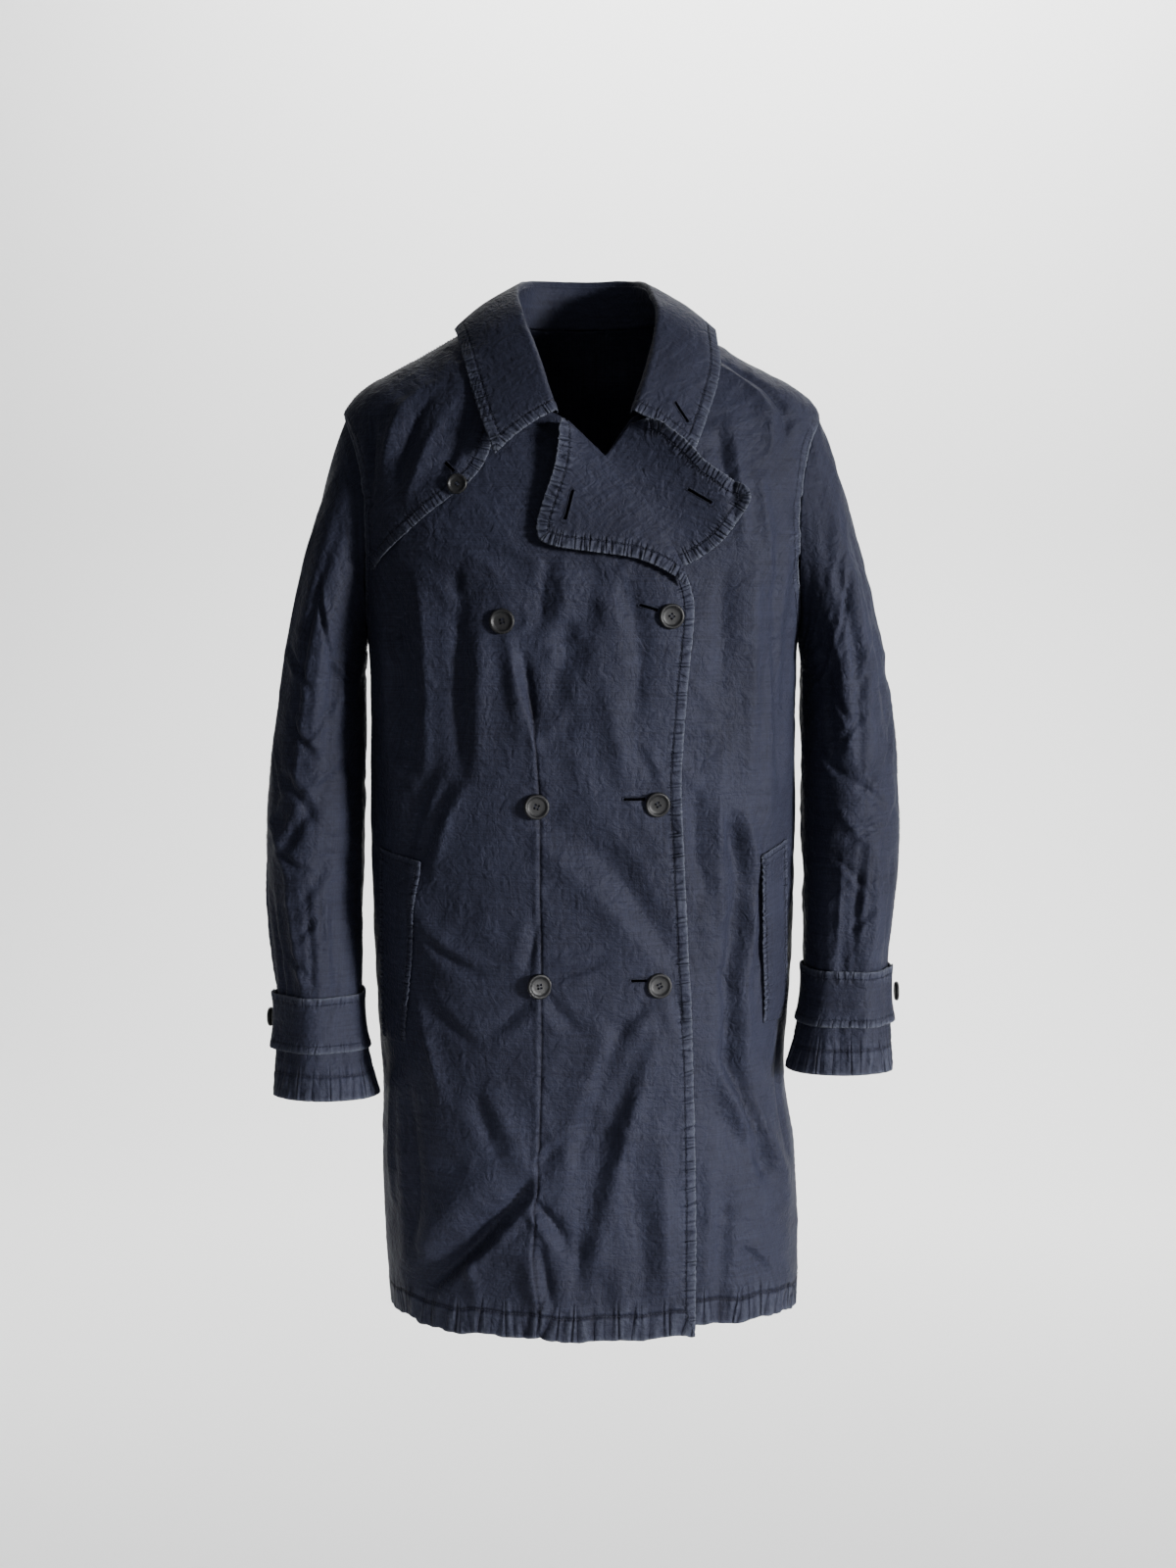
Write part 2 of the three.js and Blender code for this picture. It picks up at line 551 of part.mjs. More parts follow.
const coat = new THREE.Group();
coat.add(solid('back', sheet(backPanel), cloth));
coat.add(solid('front_right', sheet(frontPanel(true)), cloth));
coat.add(solid('front_left', sheet(frontPanel(false)), cloth));
coat.add(solid('storm_flap', sheet(stormFlap), cloth));
coat.add(solid('lapel_right', sheet(topLapel), cloth));
coat.add(solid('lapel_left', sheet(underLapel), cloth));
coat.add(solid('collar_stand', wall(collarStand()), cloth));
coat.add(solid('collar_fall', wall(collarFall()), cloth));
for (const [side, sign] of [['right', -1], ['left', 1]]) {
  coat.add(solid(`sleeve_${side}_top`, sheet(sleevePiece(sign, true)), cloth));
  coat.add(solid(`sleeve_${side}_under`, sheet(sleevePiece(sign, false)), cloth));
  coat.add(solid(`cuff_strap_${side}`, sheet(cuffStrap(sign)), cloth));
  coat.add(cuffButton(side, sign));
}
for (const pocket of POCKETS) coat.add(solid(pocket.name, sheet(pocketWelt(pocket)), cloth));
for (const row of BUTTONS) coat.add(frontButton(row));

export default coat;
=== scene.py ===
# %% [markdown]
# ## A short trench coat, dressed over its frame
# The real coat is cut from thin washed cotton in about sixteen pieces and sewn together, and here
# nobody wears it, so it keeps the hollow form of a figure. It could be one draped simulation, but a
# sewn coat is read by its pieces: each edge is turned, stitched and puckered on its own. So every
# piece is a thin shell of its own, laid on one shared form, and the sewing goes on top.

# %% Load the fixed frame
import json
import math

import bmesh
import bpy
import numpy as np
from mathutils import Matrix, Vector

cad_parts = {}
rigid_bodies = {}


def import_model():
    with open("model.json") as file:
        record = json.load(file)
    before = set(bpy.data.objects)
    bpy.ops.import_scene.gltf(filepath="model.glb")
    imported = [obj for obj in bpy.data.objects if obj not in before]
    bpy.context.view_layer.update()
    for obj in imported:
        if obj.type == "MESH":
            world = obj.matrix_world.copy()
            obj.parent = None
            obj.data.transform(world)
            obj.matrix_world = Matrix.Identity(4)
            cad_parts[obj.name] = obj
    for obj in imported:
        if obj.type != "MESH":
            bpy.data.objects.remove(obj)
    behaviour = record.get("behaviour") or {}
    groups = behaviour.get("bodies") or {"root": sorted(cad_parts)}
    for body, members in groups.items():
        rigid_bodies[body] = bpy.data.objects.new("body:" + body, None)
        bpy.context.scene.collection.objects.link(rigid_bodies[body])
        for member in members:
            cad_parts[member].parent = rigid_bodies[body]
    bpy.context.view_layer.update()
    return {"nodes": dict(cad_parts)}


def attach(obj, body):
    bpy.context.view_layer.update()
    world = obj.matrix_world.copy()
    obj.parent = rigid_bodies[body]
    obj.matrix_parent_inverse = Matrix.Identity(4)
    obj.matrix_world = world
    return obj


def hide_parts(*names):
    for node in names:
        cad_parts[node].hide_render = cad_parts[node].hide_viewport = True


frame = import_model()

print("frame nodes:", len(frame["nodes"]))

# %% [markdown]
# ## The camera and the studio
# The picture was taken a little above the waist, looking slightly down, with soft daylight from the
# right and a pale wall behind. A long lens keeps the sleeves from spreading. The floor is a sweep
# that rolls up into the wall, as photographers use, so no corner shows behind the coat.

# %% Camera at the picture's angle
CAMERA_PLACE = (0.0046, -2.21, -0.235)
CAMERA_DIP = math.radians(5)
LENS = 54.09
SENSOR = 36.0

camera = bpy.data.objects.new("camera", bpy.data.cameras.new("camera"))
camera.location = CAMERA_PLACE
camera.rotation_euler = (math.pi / 2 - CAMERA_DIP, 0, 0)
camera.data.sensor_fit = "VERTICAL"
camera.data.sensor_height = SENSOR
camera.data.lens = LENS
bpy.context.collection.objects.link(camera)
bpy.context.scene.camera = camera
print("camera at", CAMERA_PLACE)

# %% Floor sweep and wall
FLOOR_Z = -1.45
SWEEP = {"half_width": 4.5, "front": -4.5, "back": 3.6, "radius": 1.4, "top": 4.2, "steps": 24}


def new_material(name):
    """An empty material, its node tree and its shader."""
    material = bpy.data.materials.new(name)
    material.use_nodes = True
    return material, material.node_tree, material.node_tree.nodes["Principled BSDF"]


def plain_finish(name, colour, roughness):
    """A quiet finish with a faint unevenness, for what stands round the coat."""
    material, tree, shader = new_material(name)
    shader.inputs["Roughness"].default_value = roughness
    noise = tree.nodes.new("ShaderNodeTexNoise")
    noise.inputs["Scale"].default_value = 2.5
    ramp = tree.nodes.new("ShaderNodeValToRGB")
    ramp.color_ramp.elements[0].color = [*(0.96 * c for c in colour), 1]
    ramp.color_ramp.elements[1].color = [*colour, 1]
    tree.links.new(noise.outputs["Fac"], ramp.inputs["Fac"])
    tree.links.new(ramp.outputs["Color"], shader.inputs["Base Color"])
    return material


def floor_sweep(sweep):
    """A floor that rolls up into a wall, as one smooth strip."""
    bend = np.linspace(0, math.pi / 2, sweep["steps"])
    y = sweep["back"] - sweep["radius"] + sweep["radius"] * np.sin(bend)
    z = FLOOR_Z + sweep["radius"] * (1 - np.cos(bend))
    profile = [(sweep["front"], FLOOR_Z), *zip(y, z), (sweep["back"], sweep["top"])]
    points = [(side * sweep["half_width"], a, b) for a, b in profile for side in (-1, 1)]
    faces = [(2 * k, 2 * k + 1, 2 * k + 3, 2 * k + 2) for k in range(len(profile) - 1)]
    mesh = bpy.data.meshes.new("floor")
    mesh.from_pydata(points, [], faces)
    mesh.shade_smooth()
    mesh.materials.append(plain_finish("pale paper", (0.93, 0.93, 0.92), 0.9))
    floor = bpy.data.objects.new("floor", mesh)
    bpy.context.collection.objects.link(floor)
    print("floor", round(-FLOOR_Z, 2), "m below the neck")


floor_sweep(SWEEP)

# %% Soft studio light, strongest from the right
LIGHTS = [
    # name, place, aims at, size, power, spread in degrees
    ("window light", (2.9, -1.75, -0.1), (0.44, 0.0, -0.44), 1.3, 19, 16.5),
    ("skirt light", (-0.2, -2.6, -1.1), (0.0, 0.0, -0.95), 0.5, 1.7, 36),
    ("wall light", (0.5, 2.3, 2.3), (0.5, 3.6, 0.6), 3.0, 330, 180),
]
WORLD = (0.90, 0.93, 1.0)
WORLD_STRENGTH = 0.3

for name, place, aim, size, power, spread in LIGHTS:
    light = bpy.data.objects.new(name, bpy.data.lights.new(name, "AREA"))
    light.data.size = size
    light.data.energy = power
    light.data.spread = math.radians(spread)
    light.location = place
    light.rotation_euler = (Vector(aim) - Vector(place)).to_track_quat("-Z", "Y").to_euler()
    bpy.context.collection.objects.link(light)

world = bpy.data.worlds.new("studio")
world.use_nodes = True
world.node_tree.nodes["Background"].inputs["Color"].default_value = (*WORLD, 1)
world.node_tree.nodes["Background"].inputs["Strength"].default_value = WORLD_STRENGTH
bpy.context.scene.world = world
print("lights:", [row[0] for row in LIGHTS])

# %% [markdown]
# ## Tables that read like a pattern
# A tailor drafts a coat from short tables: so wide at this level, so deep at that one. The script
# does the same, in millimetres, and turns the finished points into metres once, when a mesh is
# made. A smooth curve runs through the rows of each table, so a few rows are enough.

# %% Tables and the curves through them
MM = 0.001


def columns(names, *rows):
    """A short table as one array for each named column."""
    return dict(zip(names.split(), np.array(rows, float).T))


def smooth(value, start, stop):
    """0 below start, 1 above stop, and an even rise between them."""
    t = np.clip((value - start) / (stop - start), 0, 1)
    return t * t * (3 - 2 * t)


def mix(a, b, share):
    return a + (b - a) * share


def hermite(a, slope_a, b, slope_b, t):
    """The curve from a to b that leaves and arrives with the given slopes."""
    square, cube = t ** 2, t ** 3
    return (a * (2 * cube - 3 * square + 1) + slope_a * (cube - 2 * square + t)
            + b * (3 * square - 2 * cube) + slope_b * (cube - square))


def at(table, where, key="z"):
    """The table's other columns at the given places, on a smooth curve through its rows."""
    order = np.argsort(table[key])
    place = table[key][order]
    i = np.searchsorted(place[1:-1], where, side="left")
    before, after = np.maximum(i - 1, 0), np.minimum(i + 2, len(place) - 1)
    span = place[i + 1] - place[i]
    t = np.clip((where - place[i]) / span, 0, 1)
    found = {}
    for name in table.keys() - {key}:
        v = table[name][order]
        slope_a = (v[i + 1] - v[before]) / (place[i + 1] - place[before]) * span
        slope_b = (v[after] - v[i]) / (place[after] - place[i]) * span
        found[name] = hermite(v[i], slope_a, v[i + 1], slope_b, t)
    return found


def power(value, exponent):
    return np.sign(value) * np.abs(value) ** exponent


def unit(vectors):
    return vectors / np.maximum(np.linalg.norm(vectors, axis=-1, keepdims=True), 1e-9)


print("halfway between rows:", at(columns("z x", (0, 0), (10, 5), (20, 20)), 5.0))

# %% [markdown]
# ## The form that carries the cloth
# A worn coat is a stack of rounded, slightly square rings: wide and deep at the hem, narrower at
# the waist, then closing over the shoulders to the neck. A superellipse gives each ring from a
# width, two depths and a squareness. All body pieces are cut from this one form, so they meet.

# %% The body's rings
HEM_Z, NECK_Z = -916, 0
SHOULDER_TIP_Z, UNDERARM_Z = -86, -290
ARMHOLE_FRONT, ARMHOLE_BACK = 58, 64
ARMHOLE_MIDDLE = (SHOULDER_TIP_Z + UNDERARM_Z) / 2
ARMHOLE_HALF = (SHOULDER_TIP_Z - UNDERARM_Z) / 2
BREAK_Z, GORGE_Z = -231, -92
CENTRE_FRONT = 10

BODY = columns(
    "z width front back square shift",
    (-916, 194, 150, 140, 2.3, 10),
    (-850, 197, 149, 138, 2.3, 8),
    (-770, 196, 147, 135, 2.3, 5),
    (-700, 191, 144, 131, 2.3, 0),
    (-600, 196, 140, 127, 2.35, 0),
    (-460, 199, 137, 125, 2.4, 0),
    (-360, 199, 138, 129, 2.4, 0),
    (-290, 201, 138, 132, 2.4, 0),
    (-230, 208, 133, 133, 2.4, 0),
    (-160, 216, 120, 130, 2.3, 0),
    (-110, 221, 105, 120, 2.2, 0),
    (-84, 220, 94, 110, 2.1, 0),
    (-66, 206, 86, 102, 2.05, 0),
    (-52, 184, 80, 95, 2, 0),
    (-36, 152, 73, 87, 2, 0),
    (-18, 121, 66, 77, 2, 0),
    (0, 78, 58, 66, 2, 0),
)


def form_point(angle, z):
    """A point of the smooth body; angle 0 is the wearer's left side and 90 degrees the front."""
    angle, z = np.broadcast_arrays(angle, z)
    ring = at(BODY, z)
    depth = np.where(np.sin(angle) > 0, ring["front"], ring["back"])
    x = ring["shift"] + ring["width"] * power(np.cos(angle), 2 / ring["square"])
    y = -depth * power(np.sin(angle), 2 / ring["square"])
    return np.stack([x, y, z], -1)


def angle_at(x, z):
    """The angle round the front at which the form has this x."""
    ring = at(BODY, z)
    share = np.clip((x - ring["shift"]) / ring["width"], -1, 1)
    return np.arccos(power(share, ring["square"] / 2))


def armhole_reach(z, size):
    """How far the armhole's edge lies from the side line at a level."""
    height = (z - ARMHOLE_MIDDLE) / ARMHOLE_HALF
    return size * np.sqrt(np.clip(1 - height ** 2, 0, 1))


def side_angle(z, size, depth):
    """The angle from the side line at which a panel ends, at the seam or the armhole."""
    ring = at(BODY, z)
    return np.arcsin((armhole_reach(z, size) / ring[depth]) ** (ring["square"] / 2))


print("chest girth about", round(float(np.linalg.norm(np.diff(
    form_point(np.linspace(0, 2 * math.pi, 400), -290.0), axis=0), axis=1).sum())), "mm")

# %% [markdown]
# ## Folds placed one by one
# What makes cotton look worn is where it folds: drag lines from a button to the next seam, soft
# columns under the shoulder flap, one deep crease across the lower front. Each fold is a row of a
# table, from one point to another, with a width and a depth. A crisp one has a sharp crest, a bowed
# one curves, and most have a swell beside them, because cloth that dips must rise next to it.

# %% How a row of the table moves the cloth
GIRTH = 175                  # millimetres of cloth a radian round the body
SWELL_SHARE = 0.45           # how high the swell beside a fold is
SWELL_AWAY = 1.5             # how far it lies off, in widths of the fold


def ridge(across, width, crisp):
    """The section of a fold: a soft bell, or a sharper crest."""
    bell = np.exp(-2 * (across / width) ** 2)
    round_off = 0.12 * width
    crest = np.exp(-(np.hypot(across, round_off) - round_off) / (0.42 * width))
    return mix(bell, crest, crisp)


def folded(folds, x, z):
    """How far a table of folds moves the cloth at points of its flat plane."""
    total = np.zeros(np.broadcast(x, z).shape)
    for from_x, from_z, to_x, to_z, width, depth, bow, crisp, beside in zip(*folds.values()):
        run_x, run_z = to_x - from_x, to_z - from_z
        length = math.hypot(run_x, run_z)
        along = ((x - from_x) * run_x + (z - from_z) * run_z) / length ** 2
        share = np.clip(along, 0, 1)
        side = ((x - from_x) * run_z - (z - from_z) * run_x) / length - bow * 4 * share * (1 - share)
        past_end = (along - share) * length
        section = ridge(np.hypot(side, past_end), width, crisp)
        if beside:
            away = np.hypot(side - beside * SWELL_AWAY * width, past_end)
            section = section - SWELL_SHARE * ridge(away, width, 0)
        total += depth * np.sin(math.pi * (0.12 + 0.76 * share)) * section
    return total


# %% The folds that the frame has too, by angle and level
MAIN_FOLDS = columns(
    "angle z to_angle to_z width depth bow crisp beside",
    (106, -795, 141, -885, 22, -11, 0, 0, 0),
    (112, -770, 150, -868, 26, 8, 0, 0, 0),
    (103, -835, 97, -900, 22, 6, 0, 0, 0),
    (80, -690, 103, -780, 20, -5, 0, 0, 0),
    (142, -490, 128, -400, 18, -5, 0, 0, 0),
    (146, -500, 120, -600, 24, 5, 0, 0, 0),
    (50, -720, 30, -790, 22, -8, 0, 0, 0),
    (44, -700, 22, -800, 22, 7, 0, 0, 0),
    (152, -250, 148, -450, 20, 5, 0, 0, 0),
    (140, -240, 138, -400, 16, -4, 0, 0, 0),
    (32, -220, 36, -450, 20, 5, 0, 0, 0),
    (22, -250, 26, -420, 16, -4, 0, 0, 0),
    (215, -600, 222, -916, 34, 8, 0, 0, 0),
    (240, -640, 246, -916, 30, -8, 0, 0, 0),
    (285, -560, 280, -916, 34, 8, 0, 0, 0),
    (312, -640, 318, -916, 32, -8, 0, 0, 0),
    (212, -190, 228, -360, 24, 6, 0, 0, 0),
    (328, -190, 312, -360, 24, 6, 0, 0, 0),
)

# %% The finer folds of the front, by the place that the picture shows them at
FRONT_FOLDS = columns(
    "x z to_x to_z width depth bow crisp beside",
    (-53, -304, -42, -372, 7, -5.0, 0, 0.6, -1),
    (-66, -290, -41, -388, 8, 3.0, 0, 0.2, 0),
    (-172, -240, -170, -390, 15, -4.0, 0, 0.1, 0),
    (-147, -240, -142, -407, 13, 3.5, 3, 0.1, 0),
    (-112, -225, -109, -407, 14, -4.5, -3, 0.2, 0),
    (-90, -275, -94, -407, 13, 3.0, 0, 0.1, 0),
    (-9, -262, -25, -346, 9, -3.0, 0, 0.3, 1),
    (-31, -220, -39, -280, 9, -2.6, 0, 0.3, 1),
    (10, -226, 4, -280, 8, -1.8, 0, 0.3, -1),
    (38, -236, 52, -312, 11, -3.0, 2, 0.2, -1),
    (15, -319, 39, -416, 14, 3.2, 0, 0.1, 0),
    (52, -306, 46, -356, 9, -3.0, 0, 0.3, 0),
    (47, -385, 62, -418, 5, -2.0, 2, 0.9, 1),
    (-27, -451, 84, -579, 20, -4.6, 3, 0.1, 0),
    (-34, -469, 59, -570, 18, 2.8, 0, 0.1, 0),
    (-144, -484, -120, -420, 8, -3.6, 0, 0.5, 1),
    (-134, -492, -104, -420, 9, 2.6, 3, 0.2, 0),
    (-142, -558, -92, -588, 8, -3.4, -4, 0.5, 1),
    (-144, -610, -100, -652, 9, -2.4, -3, 0.4, 1),
    (-148, -628, -128, -700, 13, 4.0, 3, 0.3, 0),
    (-40, -540, -50, -584, 7, -2.6, 0, 0.5, -1),
    (-30, -590, 18, -572, 6, -2.6, -3, 0.7, 1),
    (-32, -606, -2, -640, 7, -2.2, 0, 0.5, -1),
    (-46, -606, -84, -640, 8, -2.4, 2, 0.4, 1),
    (36, -633, -8, -776, 10, -4.6, -3, 0.5, 1),
    (20, -645, -18, -768, 12, 3.4, 0, 0.1, 0),
    (50, -655, 0, -826, 16, -7.0, -5, 0.2, 0),
    (64, -650, 6, -846, 12, 4.2, -4, 0.2, 0),
    (-2, -820, -5, -868, 7, -4.0, 0, 0.6, 1),
    (-49, -774, -138, -874, 8, -7.5, 7, 0.7, 1),
    (-41, -795, -14, -834, 7, -5.5, 3, 0.6, -1),
    (-38, -758, -18, -738, 5, -2.4, 0, 0.9, 1),
    (-37, -838, -28, -884, 8, -5.0, 0, 0.4, -1),
    (45, -778, 54, -882, 11, -3.0, 3, 0.2, 1),
    (70, -740, 76, -880, 10, 2.4, 0, 0.2, 0),
    (14, -848, 22, -890, 7, -2.4, 0, 0.4, 1),
    (-96, -690, -70, -768, 12, -2.6, -3, 0.2, 1),
    (-112, -816, -94, -888, 9, 2.4, 0, 0.3, 0),
    (-160, -700, -152, -850, 14, -3.4, 3, 0.1, -1),
    (-178, -700, -178, -800, 12, 3.0, 0, 0.1, 0),
    (82, -600, 92, -640, 7, -2.2, 0, 0.5, -1),
    (60, -610, 30, -640, 7, -2.2, -2, 0.5, 1),
    (-150, -70, -178, -140, 11, 3.0, 0, 0.2, 0),
    (-134, -72, -164, -144, 9, -3.0, 0, 0.3, 0),
    (-118, -82, -155, -162, 11, 2.8, 2, 0.2, 0),
    (-100, -96, -124, -140, 8, -2.2, 0, 0.4, 1),
    (-188, -96, -190, -170, 9, -3.0, 0, 0.3, 0),
    (132, -99, 144, -205, 11, 3.0, 0, 0.2, 0),
    (121, -104, 131, -190, 8, -3.0, 0, 0.4, 0),
    (120, -42, 168, -126, 12, 2.8, 3, 0.1, 0),
    (136, -44, 184, -116, 10, -3.0, 3, 0.2, 0),
    (156, -140, 170, -240, 12, 3.0, 0, 0.1, 0),
    (155, -205, 151, -416, 16, 3.6, 4, 0.1, 0),
    (176, -200, 179, -416, 13, -4.6, 0, 0.1, 0),
    (128, -230, 126, -330, 13, -2.8, 0, 0.2, 1),
    (104, -428, 112, -512, 9, -3.4, -6, 0.4, -1),
    (134, -452, 146, -504, 12, -6.5, 0, 0.3, 1),
    (144, -500, 133, -600, 13, -7.0, 4, 0.3, 1),
    (133, -590, 140, -690, 12, -6.5, 0, 0.3, 1),
    (122, -410, 126, -540, 12, 2.6, 0, 0.2, 0),
    (133, -660, 172, -776, 12, -7.5, 8, 0.5, -1),
    (150, -846, 171, -872, 6, -3.0, 2, 0.7, 1),
    (118, -760, 112, -880, 12, 2.4, 0, 0.2, 0),
    (132, -800, 128, -890, 9, -2.4, 0, 0.3, 1),
    (186, -640, 190, -760, 10, -2.6, 0, 0.2, 0),
)

# %% The finer folds of the back, which the picture doesn't show, by angle and level
BACK_FOLDS = columns(
    "angle z to_angle to_z width depth bow crisp beside",
    (232, -70, 222, -190, 12, -3.0, 0, 0.2, 1),
    (246, -60, 240, -170, 12, 2.6, 3, 0.1, 0),
    (300, -62, 312, -180, 12, -3.0, 0, 0.2, -1),
    (276, -90, 268, -260, 15, -2.6, 4, 0.2, 1),
    (206, -300, 214, -470, 12, -3.4, 4, 0.2, 1),
    (334, -300, 326, -480, 12, -3.4, -4, 0.2, -1),
    (250, -330, 236, -520, 16, 3.0, 6, 0.1, 0),
    (288, -340, 300, -540, 16, 3.0, -6, 0.1, 0),
    (226, -430, 262, -520, 13, -3.2, 8, 0.3, 1),
    (316, -440, 282, -540, 13, -3.0, -8, 0.3, -1),
    (262, -560, 256, -760, 14, -3.2, 4, 0.2, 1),
    (270, -640, 268, -880, 15, 3.2, 3, 0.1, 0),
    (200, -560, 204, -760, 13, 3.0, 0, 0.1, 0),
    (298, -700, 304, -890, 12, 3.0, 0, 0.2, 0),
    (228, -800, 246, -880, 9, -3.4, 4, 0.6, 1),
    (340, -620, 334, -860, 13, 3.0, 0, 0.1, 0),
    (330, -760, 316, -850, 9, -2.8, 3, 0.5, -1),
    (192, -700, 198, -880, 12, -3.0, 0, 0.2, -1),
)

# %% The drape at any point of the body
CALM_NEAR_ARMHOLE = 30       # millimetres over which the folds die out at the sleeve's seam
CALM_AT_SHOULDER = 24        # and at the shoulder seam
ARC_FRONT, ARC_BACK = 66, 75                     # half the armhole's width along the cloth


def as_rounds(folds):
    """The same table with its angles as millimetres round the body."""
    from_mm, to_mm = (np.radians(folds[key]) * GIRTH for key in ("angle", "to_angle"))
    rest = {key: value for key, value in folds.items() if key not in ("angle", "to_angle")}
    return {"x": from_mm, "z": rest.pop("z"), "to_x": to_mm, "to_z": rest.pop("to_z"), **rest}


def front_as_rounds(folds):
    """A table by the front's x with its places as millimetres round the body."""
    moved = dict(folds)
    moved["x"] = angle_at(folds["x"], folds["z"]) * GIRTH
    moved["to_x"] = angle_at(folds["to_x"], folds["to_z"]) * GIRTH
    return moved


def joined_tables(*tables):
    return {key: np.concatenate([t[key] for t in tables]) for key in tables[0]}


FULLNESS = 1.7               # the body's finer folds are this much deeper than their rows say
CRISPER = 0.25               # and this much crisper, as cotton is when it is dry


def fuller(folds, fullness=FULLNESS):
    return {**folds, "depth": folds["depth"] * fullness,
            "crisp": np.minimum(folds["crisp"] + CRISPER, 1)}


BODY_FOLDS = joined_tables(
    as_rounds(MAIN_FOLDS), fuller(front_as_rounds(FRONT_FOLDS)), fuller(as_rounds(BACK_FOLDS)))


def drape(angle, z):
    """How far the cloth stands off the smooth body, calm where a sleeve is sewn in."""
    front = np.sin(angle) > 0
    from_side = np.where(front, np.minimum(angle, math.pi - angle),
                         np.minimum(angle - math.pi, 2 * math.pi - angle))
    arc = np.where(front, ARC_FRONT, ARC_BACK)
    away = (np.hypot(from_side * GIRTH / arc, (z - ARMHOLE_MIDDLE) / ARMHOLE_HALF) - 1) * arc
    by_shoulder = smooth(z, UNDERARM_Z - 40, UNDERARM_Z)
    shoulder = mix(1, smooth(from_side * GIRTH, 0, CALM_AT_SHOULDER), by_shoulder)
    return folded(BODY_FOLDS, angle * GIRTH, z) * smooth(away, 0, CALM_NEAR_ARMHOLE) * shoulder


def body_point(angle, z, lift=0.0):
    """A point of the cloth on the body, moved out by a lift."""
    angle, z = np.broadcast_arrays(angle, z)
    step = 0.004
    round_way = form_point(angle + step, z) - form_point(angle - step, z)
    up = form_point(angle, z + 1.0) - form_point(angle, z - 1.0)
    out = unit(np.cross(up, round_way))
    return form_point(angle, z) + out * (drape(angle, z) + lift)[..., None]


def on_front(x, z, lift=0.0):
    return body_point(angle_at(x, z), z, lift)


print("folds on the body:", len(BODY_FOLDS["x"]))

# %% [markdown]
# ## A sheet of cloth as a grid
# Each cut piece is a grid of points whose rows go up and whose columns go round. The grid knows how
# far each point lies from each of the piece's edges, and that is where sewing leaves its marks:
# a turned edge is thicker, the stitch line sinks in, and little tucks run across it.

# %% Even spacing, finer near sewn edges
def spacing(length, coarse, fine, places, reach=16.0):
    """Shares from 0 to 1 with fine steps near some places and coarse ones between."""
    here = [0.0]
    while here[-1] < length:
        near = min(abs(here[-1] - place) for place in places)
        here.append(here[-1] + mix(fine, coarse, float(smooth(near, reach * 0.7, reach * 1.8))))
    return np.array(here) / here[-1]


def resampled(lengths, values, shares):
    """Values at even shares of the running length."""
    return np.interp(shares * lengths[-1], lengths, values)


def running(points, axis):
    """The running length along an axis of a grid."""
    steps = np.linalg.norm(np.diff(points, axis=axis), axis=-1)
    start = np.zeros_like(np.take(steps, [0], axis=axis))
    return np.concatenate([start, np.cumsum(steps, axis=axis)], axis=axis)


def even_levels(low, high, shares, angle=math.radians(140)):
    """Levels at the given shares of the cloth's length from low to high."""
    dense = np.linspace(low, high, 500)
    return resampled(running(form_point(angle, dense), 0), dense, shares)


def even_angles(start, stop, z, shares):
    """For each level the angles that lie at the given shares of the cloth between two angles."""
    dense = mix(start[:, None], stop[:, None], np.linspace(0, 1, 160))
    lengths = running(form_point(dense, z[:, None]), 1)
    return np.array([resampled(a, b, shares) for a, b in zip(lengths, dense)])


print("a 60 mm strip takes", len(spacing(60, 3, 1.2, (0, 60))), "columns")

# %% The distance from an edge
EDGE_REACH = 60              # an edge is felt this far into a piece


def nearest_on_edge(points):
    """The grid's distances from its first column, and how far along that column they are."""
    line = points[:, 0].astype(np.float32)
    start, step = line[:-1], np.diff(line, axis=0)
    lengths = np.linalg.norm(step, axis=1)
    runs = np.concatenate([[0], np.cumsum(lengths)])
    distance = running(points, 1)
    run = np.repeat(runs[:, None], points.shape[1], 1)
    near = distance < EDGE_REACH
    away = points[near].astype(np.float32)[:, None] - start
    share = np.clip((away * step).sum(-1) / lengths ** 2, 0, 1)
    gaps = np.linalg.norm(away - step * share[..., None], axis=-1)
    best = gaps.argmin(1)
    each = np.arange(len(best))
    distance[near] = gaps[each, best]
    run[near] = runs[best] + share[each, best] * lengths[best]
    return distance, run


print("edges are felt within", EDGE_REACH, "mm")

# %% The sheet and its distances to its edges
FAR_FROM_STITCHES = 9.0      # a share of the inset at which no stitching shows


